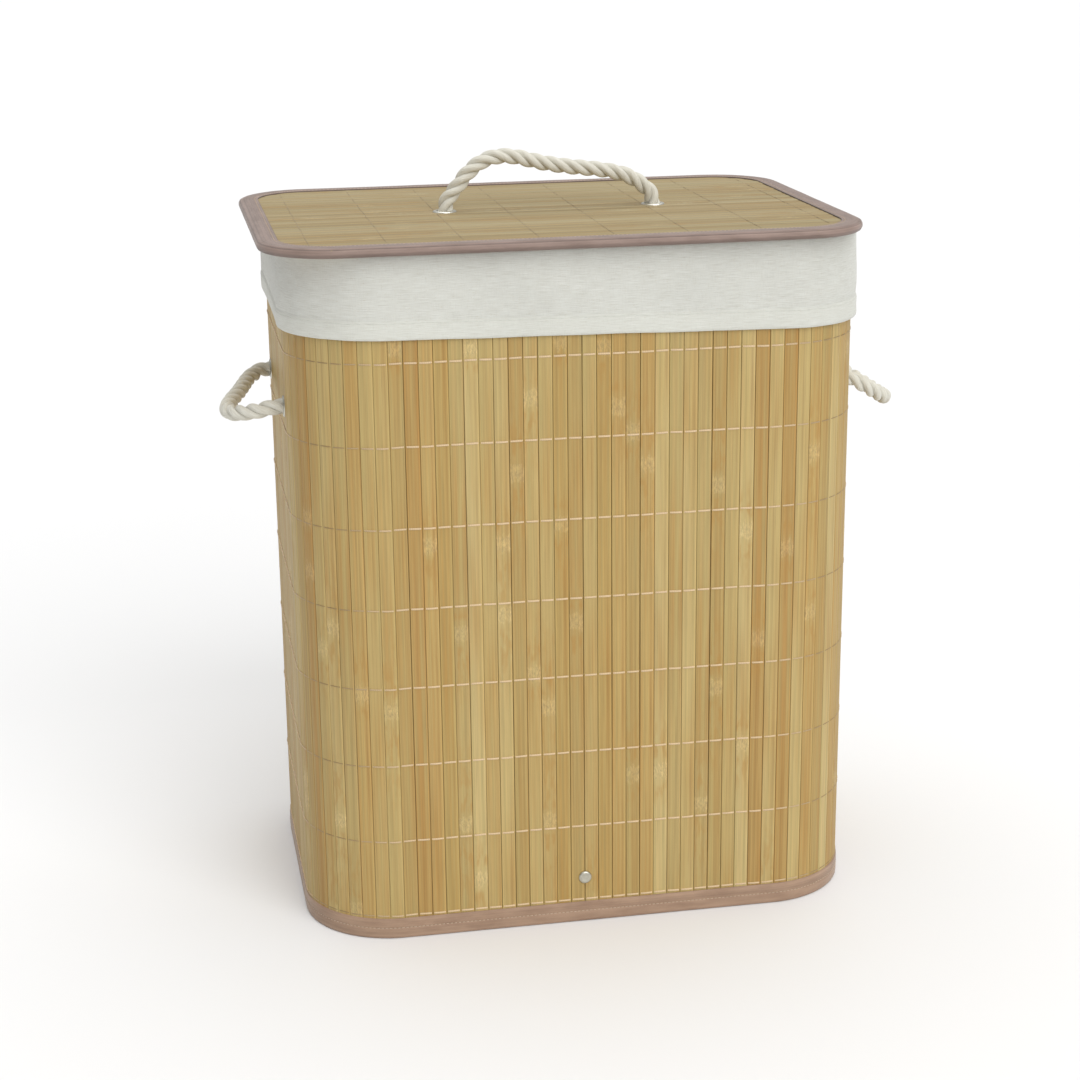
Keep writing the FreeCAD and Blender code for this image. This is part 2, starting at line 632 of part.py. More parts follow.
def make_rope_loop(label, points):
    """A tube along the route, with a round end on each pivot point."""
    radius = value(ROPE_RADIUS)
    path = rope_path(points, label)
    ends = [(points[0], points[1] - points[0]), (points[-1], points[-2] - points[-1])]
    profile = Part.Wire([Part.makeCircle(radius, *ends[0])])
    tube = path.makePipeShell([profile], True, True)
    expected = math.pi * radius ** 2 * path.Length
    if abs(tube.Volume / expected - 1) > 0.01:
        raise ValueError(f"{label}: the tube's volume is {tube.Volume}, not {expected}")
    print(f"{label}: length {path.Length:.1f}, volume {tube.Volume:.0f} of {expected:.0f}")
    caps = [Part.makeSphere(radius, point, -direction, 0, 90, 360) for point, direction in ends]
    loop = doc.addObject("Part::Feature", label.title().replace("_", ""))
    loop.Shape = tube.fuse(caps).removeSplitter()
    named(loop, label)


def side_route(points, sign, droop):
    """A side loop's points in the hamper's frame; the pivots close it at both ends."""
    tilt = math.radians(value(droop))
    pivot_x, pivot_z = value(f"(body_width / 2 + {PIVOT_OUT})"), value(HANDLE_HEIGHT)
    pivot_y, pivot_out = value("handle_spacing / 2"), value(PIVOT_OUT)
    path = [V(sign * pivot_x, -pivot_y, pivot_z)]
    for along, out in points:
        reach = out - pivot_out
        path.append(V(sign * (pivot_x + reach * math.cos(tilt)), along,
                      pivot_z - reach * math.sin(tilt)))
    return path + [V(sign * pivot_x, pivot_y, pivot_z)]


def lid_route(points):
    middle = V(value(LID_HANDLE_X), value(LID_HANDLE_Y), value(LID_FACE))
    end = V(value("lid_handle_spacing / 2"), 0, value(PIVOT_OUT))
    path = [middle + V(-end.x, 0, end.z)]
    path += [middle + V(across, 0, up) for across, up in points]
    return path + [middle + end]


def make_ropes():
    make_side_fittings("left", -1)
    make_side_fittings("right", 1)
    make_lid_fittings()
    make_rope_loop("left_rope_handle", side_route(LEFT_ROUTE, -1, "left_droop"))
    make_rope_loop("right_rope_handle", side_route(RIGHT_ROUTE, 1, "right_droop"))
    make_rope_loop("lid_rope_handle", lid_route(LID_ROUTE))


# ---------------------------------------------------------------- liner

def bag_sections(body, inset):
    """Sections of the bag's side, from its floor up to the rim."""
    width, depth, corner = BAG_SIZE
    narrow = (f"({LINER_FLOOR} + liner_thickness)", f"({RIM_TOP} - shoulder_low_drop)")
    wide = (f"({RIM_TOP} - shoulder_high_drop)", f"({LINER_TOP} - liner_thickness)")
    sections = []
    for height in narrow + wide:
        sketch = new_sketch(body, height=height)
        if height in narrow:
            add_rounded_rectangle(sketch, f"({width} - 2 * {inset})", f"({depth} - 2 * {inset})",
                                  f"({corner} - {inset})")
        else:
            add_wall_outline(sketch, f"({MOUTH_INSET} + {inset})")
        sections.append(sketch)
    return sections


def make_liner():
    side = new_body("liner_side")
    for kind, inset in (("AdditiveLoft", "0"), ("SubtractiveLoft", "liner_thickness")):
        sections = bag_sections(side, inset)
        loft = side.newObject(f"PartDesign::{kind}", kind)
        loft.Profile = sections[0]
        loft.Sections = sections[1:]
        loft.Ruled = True
        side.Tip = loft
        doc.recompute()

    bottom = new_body("liner_bottom")
    sketch = new_sketch(bottom, height=LINER_FLOOR)
    add_rounded_rectangle(sketch, *BAG_SIZE)
    pad(bottom, sketch, "liner_thickness")

    cuff = new_body("liner_cuff")
    sketch = new_sketch(cuff, height=f"({LINER_TOP} - cuff_drop)")
    add_wall_outline(sketch, CUFF_INSET)
    pad(cuff, sketch, "cuff_drop")
    inside = new_sketch(cuff, height=f"({LINER_TOP} - cuff_drop)")
    add_wall_outline(inside, f"({CUFF_INSET} + liner_thickness)")
    pocket(cuff, inside, "(cuff_drop - liner_thickness)")
    mouth = new_sketch(cuff, height=f"({LINER_TOP} - liner_thickness)")
    add_wall_outline(mouth, f"({MOUTH_INSET} + liner_thickness)")
    pocket(cuff, mouth, "liner_thickness")


# ---------------------------------------------------------------- lid

def lid_plate(label, low, thickness):
    """One layer of the lid inside its binding."""
    body = new_body(label)
    sketch = new_sketch(body, height=low)
    add_lid_outline(sketch, "tape_thickness")
    pad(body, sketch, thickness)
    return body


def cut_lid_holes(body, radius):
    sketch = new_sketch(body)
    for side in ("-", "+"):
        add_circle(sketch, f"({LID_HANDLE_X} {side} lid_handle_spacing / 2)", LID_HANDLE_Y,
                   radius)
    pocket(body, sketch)


def make_lid():
    lining = lid_plate("lid_lining", f"({LID_BOTTOM} + tape_thickness)", "cloth_thickness")
    board = lid_plate("lid_board", LID_LINING_TOP, "lid_board_thickness")
    slats = lid_plate("lid_slats", LID_BOARD_TOP, "lid_slat_thickness")
    pitch = f"(({LID_DEPTH} - 2 * tape_thickness) / lid_slat_count)"
    first_gap = f"(tape_thickness - {LID_DEPTH} / 2 - lid_front + {pitch})"
    slot = new_sketch(slats, height=LID_BOARD_TOP)
    add_rectangle(slot, f"(-{LID_WIDTH} / 2 - lid_left)", f"({LID_WIDTH} / 2 - lid_left)",
                  f"({first_gap} - slat_gap / 2)", f"({first_gap} + slat_gap / 2)")
    row(slats, pocket(slats, slot, "lid_slat_thickness"), "Y_Axis", "(lid_slat_count - 1)", pitch)
    for body in (lining, board, slats):
        cut_lid_holes(body, HOLE_RADIUS)

    binding = new_body("lid_binding")
    sketch = new_sketch(binding, height=LID_BOTTOM)
    add_lid_outline(sketch, "0")
    add_lid_outline(sketch, "lid_tape_width")
    pad(binding, sketch, f"({LID_TOP} - {LID_BOTTOM})")
    slot = new_sketch(binding, height=f"({LID_BOTTOM} + tape_thickness)")
    add_lid_outline(slot, "tape_thickness")
    pocket(binding, slot, f"({LID_FACE} - {LID_BOTTOM} - tape_thickness)")

    threads = new_body("lid_stitching")
    sketch = new_sketch(threads, height=LID_FACE)
    left = f"({LID_ROW_X} - {LEFT_ROWS} * lid_row_pitch - thread_height / 2)"
    add_rectangle(sketch, left, f"({left} + thread_height)",
                  f"(-{LID_DEPTH} / 2 - lid_front)", f"({LID_DEPTH} / 2 - lid_front)")
    strand = pad(threads, sketch, "thread_depth")
    row(threads, strand, "X_Axis", f"({LEFT_ROWS} + {RIGHT_ROWS} + 1)", "lid_row_pitch")
    edge = new_sketch(threads, height=LID_FACE)
    add_rectangle(edge, f"(-{LID_WIDTH} / 2 - lid_left)", f"({LID_WIDTH} / 2 - lid_left)",
                  f"(-{LID_DEPTH} / 2 - lid_front - fit_gap)",
                  f"({LID_DEPTH} / 2 - lid_front + fit_gap)")
    add_lid_outline(edge, "(lid_tape_width + fit_gap)")
    pocket(threads, edge, "thread_depth")
    cut_lid_holes(threads, f"({HOLE_RADIUS} + lid_lip + fit_gap)")


# ---------------------------------------------------------------- build, check and write

def check_document():
    doc.recompute()
    for thing in doc.Objects:
        bad = [state for state in thing.State if state in ("Invalid", "Error")]
        if bad:
            raise ValueError(f"{thing.Label} is {bad}")
    for node in NODES:
        if node.Shape.isNull() or not node.Shape.isValid() or not node.Shape.Solids:
            raise ValueError(f"{node.Label} has no valid solid")


def write_parts():
    os.makedirs("parts", exist_ok=True)
    for node in NODES:
        node.Shape.exportStep(f"parts/{node.Label}.step")
        print(f"{node.Label}: {len(node.Shape.Solids)} solid(s), {node.Shape.Volume:.0f} mm3")


make_slats()
make_wall_cloth()
make_wall_threads()
make_base()
make_base_cloth()
make_snap()
make_ropes()
make_liner()
make_lid()
check_document()
write_parts()
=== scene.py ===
"""The laundry hamper's looks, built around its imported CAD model.

Metres, +Z up, in the CAD model's own frame. Every visible CAD node is stood for by a detailed
mesh: slats with rounded edges, stitches, folded tapes, a cloth liner and three-strand ropes.
"""
import math
import random

import bmesh
import bpy
import numpy as np
from mathutils import Matrix, Vector, noise


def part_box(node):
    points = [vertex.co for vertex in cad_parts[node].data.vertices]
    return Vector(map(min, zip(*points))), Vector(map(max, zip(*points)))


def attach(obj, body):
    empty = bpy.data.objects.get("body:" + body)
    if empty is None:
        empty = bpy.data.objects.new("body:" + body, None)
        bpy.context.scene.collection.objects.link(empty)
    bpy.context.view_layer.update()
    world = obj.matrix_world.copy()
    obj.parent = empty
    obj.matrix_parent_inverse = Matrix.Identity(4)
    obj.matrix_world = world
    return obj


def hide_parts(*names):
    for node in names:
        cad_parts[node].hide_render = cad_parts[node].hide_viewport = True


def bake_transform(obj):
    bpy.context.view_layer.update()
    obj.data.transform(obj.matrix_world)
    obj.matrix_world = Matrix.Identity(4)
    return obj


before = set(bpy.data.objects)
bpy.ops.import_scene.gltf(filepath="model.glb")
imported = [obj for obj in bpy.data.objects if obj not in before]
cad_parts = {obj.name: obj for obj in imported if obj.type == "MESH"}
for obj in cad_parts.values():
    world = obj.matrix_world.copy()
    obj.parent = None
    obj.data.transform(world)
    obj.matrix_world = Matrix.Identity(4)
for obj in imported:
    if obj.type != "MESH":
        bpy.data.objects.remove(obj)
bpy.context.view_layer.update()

MM = 0.001
rng = random.Random(7)

# ---------------------------------------------------------------- places, from the frame

slats_low, slats_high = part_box("left_slats")
WALL_LEFT = slats_low.x
WALL_HALF_W = -WALL_LEFT
WALL_HALF_D = -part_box("front_slats")[0].y
WALL_CORNER = slats_low.y + WALL_HALF_D
SLAT_LOW, SLAT_HIGH = slats_low.z, slats_high.z
RIM_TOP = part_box("rim_binding")[1].z
LINER_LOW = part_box("liner_bottom")[0].z
LINER_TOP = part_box("liner_cuff")[1].z
lid_low, lid_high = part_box("lid_binding")
LID_CENTRE = (lid_low + lid_high) / 2
LID_HALF_W, LID_HALF_D = (lid_high.x - lid_low.x) / 2, (lid_high.y - lid_low.y) / 2
LID_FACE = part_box("lid_slats")[1].z

# Sizes of the CAD model that a box can't give.
SLAT_THICK = 2.0 * MM
BACKING = 0.6 * MM
TAPE = 0.9 * MM
FRONT_COUNT, SIDE_COUNT, CORNER_COUNT = 27, 14, 10
THREAD_ROWS = LID_ROWS = 8
THREAD_INSET = 0.45 * MM
LID_CORNER = 51.0 * MM
LID_TAPE_WIDTH = 14.5 * MM
LID_SLATS = 29
ROPE = 11.0 * MM
ROPE_HOLE = 6.2 * MM
EYELET_BORE, SIDE_FLANGE, LID_FLANGE = 5.75, 7.5, 8.5
PIVOT_OUT = 6.6 * MM
HANDLE_Z = sum(corner.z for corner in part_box("left_eyelets")) / 2
HANDLE_HALF = 63.0 * MM
LID_HANDLE_HALF = 76.0 * MM
lid_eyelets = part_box("lid_eyelets")
LID_HANDLE = Vector(((lid_eyelets[0].x + lid_eyelets[1].x) / 2,
                     (lid_eyelets[0].y + lid_eyelets[1].y) / 2, LID_FACE))
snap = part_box("snap_cap")
SNAP = Vector(((snap[0].x + snap[1].x) / 2, -WALL_HALF_D, (snap[0].z + snap[1].z) / 2))


# ---------------------------------------------------------------- camera, light and floor

def make_camera():
    """The view: a little from the left and from above, through a long lens."""
    azimuth, elevation, roll = (math.radians(angle) for angle in (-10.54, 16.65, -0.67))
    target, distance = Vector((-9.97, 0, 247.56)) * MM, 1652.1 * MM
    back = Vector((math.sin(azimuth) * math.cos(elevation),
                   -math.cos(azimuth) * math.cos(elevation), math.sin(elevation)))
    right = (-back).cross(Vector((0, 0, 1))).normalized()
    up = right.cross(-back).normalized()
    level = Matrix((right, up, back)).transposed().to_4x4()
    data = bpy.data.cameras.new("camera")
    data.lens = 73.64
    data.sensor_width = 36.0
    camera = bpy.data.objects.new("camera", data)
    camera.matrix_world = (Matrix.Translation(target + back * distance) @ level
                           @ Matrix.Rotation(roll, 4, "Z"))
    bpy.context.scene.collection.objects.link(camera)
    bpy.context.scene.camera = camera


def add_soft_light(name, place, spread, strength):
    """Even light from the direction of place, as soft as a sky panel spread degrees wide."""
    data = bpy.data.lights.new(name, "SUN")
    data.angle = math.radians(spread)
    data.energy = strength * math.pi
    lamp = bpy.data.objects.new(name, data)
    lamp.location = place
    lamp.rotation_euler = (-Vector(place)).to_track_quat("-Z", "Y").to_euler()
    bpy.context.scene.collection.objects.link(lamp)


def make_stage():
    """A plain pale floor under soft studio light."""
    world = bpy.data.worlds.new("studio")
    world.use_nodes = True
    background = world.node_tree.nodes["Background"]
    background.inputs["Color"].default_value = (1.0, 1.0, 1.0, 1.0)
    background.inputs["Strength"].default_value = 0.36
    scene = bpy.context.scene
    scene.world = world
    scene.view_settings.view_transform = "Standard"

    floor_half, floor_drop = 60.0, 0.3 * MM
    mesh = bpy.data.meshes.new("floor")
    corners = [(-1, -1), (1, -1), (1, 1), (-1, 1)]
    mesh.from_pydata([(x * floor_half, y * floor_half, -floor_drop) for x, y in corners], [],
                     [(0, 1, 2, 3)])
    shade = Shader("floor_white")
    shade.surface(Roughness=0.9)
    shade.set("Base Color", (0.86, 0.86, 0.86, 1.0))
    mesh.materials.append(shade.material)
    floor = bpy.data.objects.new("floor", mesh)
    scene.collection.objects.link(floor)

    add_soft_light("key", (0.8, -2.3, 1.7), 50.0, 0.54)
    add_soft_light("top", (0.1, 0.4, 2.8), 70.0, 0.55)


# ---------------------------------------------------------------- shader helper

class Shader:
    """One node material with a Principled surface, built a node at a time."""

    def __init__(self, name):
        self.material = bpy.data.materials.new(name)
        self.material.use_nodes = True
        self.tree = self.material.node_tree
        self.bsdf = self.tree.nodes["Principled BSDF"]

    def node(self, kind, inputs=(), **settings):
        made = self.tree.nodes.new(f"ShaderNode{kind}")
        for name, setting in settings.items():
            setattr(made, name, setting)
        for name, given in dict(inputs).items():
            self.put(made.inputs[name], given)
        return made

    def put(self, socket, given):
        if isinstance(given, bpy.types.NodeSocket):
            self.tree.links.new(given, socket)
        else:
            socket.default_value = given

    def set(self, name, given):
        self.put(self.bsdf.inputs[name], given)

    def surface(self, **plain):
        for name, number in plain.items():
            self.bsdf.inputs[name.replace("_", " ")].default_value = number

    def grain(self):
        """The piece's grain coordinates, together and one by one."""
        grain = self.node("Attribute", attribute_name="grain").outputs["Vector"]
        return grain, self.node("SeparateXYZ", {0: grain}).outputs

    def tone(self):
        return self.node("Attribute", attribute_name="tone").outputs["Fac"]

    def math(self, operation, first, second=0.0):
        made = self.node("Math", operation=operation)
        self.put(made.inputs[0], first)
        self.put(made.inputs[1], second)
        return made.outputs[0]

    def ramp(self, factor, stops, interpolation="LINEAR"):
        """A colour ramp: stops are (place, sRGB colour of 0 to 255 or one grey of 0 to 1)."""
        made = self.node("ValToRGB", {"Fac": factor})
        made.color_ramp.interpolation = interpolation
        elements = made.color_ramp.elements
        while len(elements) < len(stops):
            elements.new(0.5)
        for element, (place, colour) in zip(elements, stops):
            element.position = place
            element.color = linear(colour) if isinstance(colour, tuple) else (colour,) * 3 + (1,)
        return made.outputs["Color"]

    def noise(self, vector, scale, detail=3.0, roughness=0.55):
        made = self.node("TexNoise", {"Vector": vector, "Scale": scale, "Detail": detail,
                                      "Roughness": roughness})
        return made.outputs["Fac"]

    def streaks(self, vector, rates, detail=3.0, roughness=0.55):
        """Noise that changes at its own rate, per metre, along each of the vector's parts."""
        made = self.node("VectorMath", {0: vector, 1: rates}, operation="MULTIPLY")
        return self.noise(made.outputs[0], 1.0, detail, roughness)

    def wave(self, part, rate):
        return self.math("SINE", self.math("MULTIPLY", part, rate))

    def times(self, first, second):
        return self.mix(1.0, first, second, "MULTIPLY")

    def mix(self, factor, first, second, blend="MIX"):
        made = self.node("Mix", data_type="RGBA", blend_type=blend)
        self.put(made.inputs["Factor"], factor)
        self.put(made.inputs[6], first)
        self.put(made.inputs[7], second)
        return made.outputs[2]

    def bump(self, height, distance, strength=1.0, normal=None):
        made = self.node("Bump", {"Height": height, "Distance": distance, "Strength": strength})
        if normal is not None:
            self.put(made.inputs["Normal"], normal)
        return made.outputs[0]


def linear(colour):
    """An sRGB colour of 0 to 255 as Blender's linear RGBA."""
    parts = [part / 255 for part in colour]
    return tuple(part / 12.92 if part <= 0.04045 else ((part + 0.055) / 1.055) ** 2.4
                 for part in parts) + (1.0,)


# ---------------------------------------------------------------- mesh helper

class Build:
    """Points and faces of one piece, with its cloth or grain coordinates."""

    def __init__(self):
        self.points, self.faces, self.grain, self.tone = [], [], [], []

    def grid(self, rows, grain, tone=0.5, wrap=True, loop=False, caps=False):
        """Quads between rows of points. wrap closes each row, loop joins the last row to the first,
        grain holds a coordinate for each point, and tone one value, or one for each column."""
        first, count = len(self.points), len(rows[0])
        for points, marks in zip(rows, grain):
            self.points.extend(points)
            self.grain.extend(marks)
        tones = [tone] * count if isinstance(tone, float) else list(tone)
        self.tone.extend(tones * len(rows))
        around = count if wrap else count - 1
        for row in range(len(rows) if loop else len(rows) - 1):
            low, high = first + row * count, first + (row + 1) % len(rows) * count
            for index in range(around):
                after = (index + 1) % count
                self.faces.append((low + index, low + after, high + after, high + index))
        if caps:
            last = first + (len(rows) - 1) * count
            self.faces.append(tuple(range(first + count - 1, first - 1, -1)))
            self.faces.append(tuple(range(last, last + count)))

    def piece(self, name, material, body=None, slot=None, replaced=(), angle=None):
        mesh = bpy.data.meshes.new(name)
        mesh.from_pydata(self.points, [], self.faces)
        turn_faces_outward(mesh)
        grain = mesh.attributes.new("grain", "FLOAT_VECTOR", "POINT")
        grain.data.foreach_set("vector", np.array(self.grain, np.float32).ravel())
        tone = mesh.attributes.new("tone", "FLOAT", "POINT")
        tone.data.foreach_set("value", np.array(self.tone, np.float32))
        mesh.materials.append(material)
        mesh.polygons.foreach_set("use_smooth", [True] * len(mesh.polygons))
        if angle is not None:
            mesh.set_sharp_from_angle(angle=math.radians(angle))
        made = bpy.data.objects.new(name, mesh)
        bpy.context.scene.collection.objects.link(made)
        if body:
            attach(made, body)
        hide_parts(*replaced)
        return made


def turn_faces_outward(mesh):
    """Make every closed part of a mesh face out, whichever way its rows were wound."""
    shape = bmesh.new()
    shape.from_mesh(mesh)
    bmesh.ops.recalc_face_normals(shape, faces=shape.faces)
    shape.to_mesh(mesh)
    shape.free()


class Outline:
    """A rectangle with round corners. A place on it is a distance from the left end of its front,
    going to the right first, and out is the distance outside it."""

    def __init__(self, half_w, half_d, corner, centre=(0.0, 0.0)):
        self.half_w, self.half_d, self.corner = half_w, half_d, corner
        self.centre = Vector((centre[0], centre[1], 0.0))
        self.flats = (2 * (half_w - corner), 2 * (half_d - corner))
        self.arc = math.pi / 2 * corner
        self.length = 2 * sum(self.flats) + 4 * self.arc

    def frame(self, distance):
        """(point, outward normal) at a distance."""
        distance %= self.length
        for side in range(4):
            flat = self.flats[side % 2]
            angle = math.pi / 2 * side
            along = Vector((math.cos(angle), math.sin(angle), 0.0))
            normal = Vector((along.y, -along.x, 0.0))
            reach = (self.half_d, self.half_w)[side % 2]
            if distance <= flat:
                return self.centre + normal * reach + along * (distance - flat / 2), normal
            distance -= flat
            if distance <= self.arc:
                turn = distance / self.corner
                middle = self.centre + normal * (reach - self.corner) + along * flat / 2
                outward = normal * math.cos(turn) + along * math.sin(turn)
                return middle + outward * self.corner, outward
            distance -= self.arc
        return self.frame(0.0)

    def at(self, distance, out, height):
        point, normal = self.frame(distance)
        return point + normal * out + Vector((0, 0, height))

    def corner_middle(self, index):
        """Distance of a corner's middle: 0 front right, 1 back right, 2 back left, 3 front left."""
        passed = sum(self.flats[side % 2] for side in range(index + 1))
        return passed + self.arc * (index + 0.5)

    def from_back(self, distance):
        """The same place, counted on from the middle of the back, where every cloth is joined."""
        back = (self.corner_middle(1) + self.corner_middle(2)) / 2
        return back + (distance - back) % self.length

    def stations(self, flat_step=12 * MM, arc_steps=18):
        """Distances all round: even steps on the flats, and so many in each corner."""
        places, start = [], 0.0
        for side in range(4):
            for length, steps in ((self.flats[side % 2], 0), (self.arc, arc_steps)):
                steps = steps or max(1, round(length / flat_step))
                places += [start + length * index / steps for index in range(steps)]
                start += length
        return places


def sweep(build, outline, stations, section, shift=None, tone=0.5):
    """A closed section of (out, height) points, carried round an outline. shift, where given,
    turns (distance, out, height) into a new (out, height)."""
    rows, grain = [], []
    run = [0.0]
    for before, after in zip(section, section[1:]):
        run.append(run[-1] + math.dist(before, after))
    places = sorted(outline.from_back(distance) for distance in stations)
    for distance in places + [places[0] + outline.length - 0.02 * MM]:
        moved = [shift(distance, *point) if shift else point for point in section]
        rows.append([outline.at(distance, out, height) for out, height in moved])
        grain.append([(distance, along, 0.0) for along in run])
    build.grid(rows, grain, tone, loop=True)


def ring_rows(outline, levels, rounds, rise):
    """Rows and grain of rings about an outline's middle. A level is (size, how far it is drawn
    in, what rise needs), and rise(x, y, size, need) gives (height, third grain coordinate)."""
    rows, grain = [], []
    centre = outline.centre
    for size, drawn, need in levels:
        row, marks = [], []
        for step in range(rounds):
            edge = outline.at(outline.length * step / rounds, -drawn, 0.0)
            x, y, _ = centre + (edge - centre) * size
            height, mark = rise(x, y, size, need)
            row.append(Vector((x, y, height)))
            marks.append((x, y, mark))
        rows.append(row)
        grain.append(marks)
    return rows, grain


wall = Outline(WALL_HALF_W, WALL_HALF_D, WALL_CORNER)
lid = Outline(LID_HALF_W, LID_HALF_D, LID_CORNER, LID_CENTRE)


# ---------------------------------------------------------------- ropes

ROPE_LAY = 33.0 * MM
STRAND, STRAND_OUT = 0.253 * ROPE, 0.260 * ROPE
STRAND_SIDES = 16
# Distances off the wall or lid, passed along with each loop.
BLEND_REACH = (1 * MM, 13 * MM)

# The loops' routes: along the wall or lid, and out from it in the loop's own plane.
LEFT_ROUTE = [(-0.0615, 0.0150), (-0.0550, 0.0260), (-0.0435, 0.0365), (-0.0240, 0.0395),
              (-0.0040, 0.0340), (0.0150, 0.0270), (0.0340, 0.0223), (0.0500, 0.0175),
              (0.0585, 0.0120)]
RIGHT_ROUTE = [(-0.0625, 0.0180), (-0.0575, 0.0320), (-0.0465, 0.0445), (-0.0290, 0.0525),
               (-0.0080, 0.0555), (0.0140, 0.0525), (0.0335, 0.0435), (0.0495, 0.0310),
               (0.0595, 0.0185)]
LID_ROUTE = [(-0.0685, 0.0150), (-0.0585, 0.0280), (-0.0455, 0.0370), (-0.0285, 0.0385),
             (-0.0070, 0.0325), (0.0160, 0.0286), (0.0380, 0.0262), (0.0565, 0.0220),
             (0.0690, 0.0140)]


def spline_line(name, points, step=1.1 * MM):
    """Even points along the smooth spline that the given points control."""
    curve = bpy.data.curves.new(name, "CURVE")
    curve.dimensions = "3D"
    curve.resolution_u = 24
    spline = curve.splines.new("NURBS")
    spline.points.add(len(points) - 1)
    for control, point in zip(spline.points, points):
        control.co = (*point, 1.0)
    spline.order_u = 3
    spline.use_endpoint_u = True
    holder = bpy.data.objects.new(name, curve)
    mesh = bpy.data.meshes.new_from_object(holder)
    line = np.array([vertex.co for vertex in mesh.vertices])
    bpy.data.meshes.remove(mesh)
    bpy.data.objects.remove(holder)
    bpy.data.curves.remove(curve)
    run = np.concatenate([[0], np.cumsum(np.linalg.norm(np.diff(line, axis=0), axis=1))])
    places = np.linspace(0, run[-1], max(2, round(run[-1] / step) + 1))
    even = np.stack([np.interp(places, run, line[:, axis]) for axis in range(3)], axis=1)
    return [Vector(point) for point in even], float(run[-1])


def carried_frames(line):
    """(point, normal, side, distance) along a line, with no twist of their own."""
    frames, distance = [], 0.0
    ahead = (line[1] - line[0]).normalized()
    normal = ahead.orthogonal().normalized()
    for index, point in enumerate(line):
        before, after = line[max(index - 1, 0)], line[min(index + 1, len(line) - 1)]
        ahead_here = (after - before).normalized()
        normal = (normal - ahead_here * normal.dot(ahead_here)).normalized()
        if index:
            distance += (point - line[index - 1]).length
        frames.append((point, normal, ahead_here.cross(normal), distance))
    return frames


def add_strands(build, line, size=1.0, phase=0.0, fray=0.0):
    """Three strands laid right-handed about a line. size scales the rope, and fray spreads
    its last few millimetres."""
    frames = carried_frames(line)
    length = frames[-1][3]
    for strand in range(3):
        rows, grain = [], []
        for point, normal, side, distance in frames:
            turn = phase + 2 * math.pi * (distance / ROPE_LAY + strand / 3)
            open_out = fray * max(0.0, 1 - (length - distance) / (6 * MM))
            outward = normal * math.cos(turn) + side * math.sin(turn)
            across = side * math.cos(turn) - normal * math.sin(turn)
            centre = point + outward * STRAND_OUT * size * (1 + open_out)
            wobble = 1 + 0.05 * noise.noise(point * 180 + Vector((strand * 9, 0, 0)))
            radius = STRAND * size * wobble
            ring, marks = [], []
            for index in range(STRAND_SIDES):
                angle = 2 * math.pi * index / STRAND_SIDES
                ring.append(centre + outward * radius * math.cos(angle)
                            + across * radius * 1.12 * math.sin(angle))
                marks.append((abs(index / STRAND_SIDES - 0.5), distance, strand + 0.37 * phase))
            rows.append(ring)
            grain.append(marks)
        build.grid(rows, grain, tone=rng.random(), caps=True)


def add_rope_end(build, mouth, inward, through):
    """Rope through its hole to a knot and a cut end. mouth is on the wall's face, and through
    is how far the eyelet reaches behind it."""
    tail = mouth + inward * (through + 18.2 * MM)
    shank, _ = spline_line("shank", [mouth, (mouth + tail) / 2, tail])
    add_strands(build, shank, phase=1.0, fray=0.22)
    side = inward.orthogonal().normalized()
    up = inward.cross(side)
    turns, steps, ring, start = 1.3, 16, 6.4 * MM, through + 4.6 * MM
    points = []
    for step in range(steps + 1):
        share = step / steps
        angle = 2 * math.pi * turns * share
        reach = ring * min(1.0, 0.35 + 5 * share, 0.35 + 5 * (1 - share))
        points.append(mouth + inward * (start + 4.4 * MM * share)
                      + (side * math.cos(angle) + up * math.sin(angle)) * reach)
    turn, _ = spline_line("knot", points)
    add_strands(build, turn, size=0.84)


def make_rope(side, body, points, blend, mouths, inward, through):
    """One handle's rope: its loop, and a knot behind each mouth."""
    line, length = spline_line(f"{side}_route", points)
    loop = Build()
    add_strands(loop, line)
    rope = loop.piece(f"{side}_handle_rope", ROPE_COTTON, slot="cotton_rope",
                      replaced=[f"{side}_rope_handle"])
    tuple(blend[0])
    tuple(blend[1])
    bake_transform(rope)
    ends = Build()
    for mouth in mouths:
        add_rope_end(ends, mouth, inward, through)
    knots = ends.piece(f"{side}_rope_knots", ROPE_COTTON, body, "cotton_rope",
                       [f"{side}_rope_ends"])


def add_side_handle(side, route, droop):
    """A rope loop on the left or right wall, with its knots inside."""
    sign = {"left": -1, "right": 1}[side]
    tilt = math.radians(droop)
    pivot_x = WALL_HALF_W + PIVOT_OUT
    mouth_x = sign * (WALL_HALF_W - 1.5 * MM)
    loop_points = [(mouth_x, -HANDLE_HALF, HANDLE_Z), (sign * pivot_x, -HANDLE_HALF, HANDLE_Z)]
    for along, out in route:
        reach = out - PIVOT_OUT
        loop_points.append((sign * (pivot_x + reach * math.cos(tilt)), along,
                            HANDLE_Z - reach * math.sin(tilt)))
    loop_points += [(sign * pivot_x, HANDLE_HALF, HANDLE_Z), (mouth_x, HANDLE_HALF, HANDLE_Z)]
    mouths = [Vector((sign * (WALL_HALF_W - 1.0 * MM), hole, HANDLE_Z))
              for hole in (-HANDLE_HALF, HANDLE_HALF)]
    blend = [(sign * (WALL_HALF_W + reach), 0, HANDLE_Z) for reach in BLEND_REACH]
    make_rope(side, "hamper", loop_points, blend, mouths, Vector((-sign, 0, 0)), 2.4 * MM)


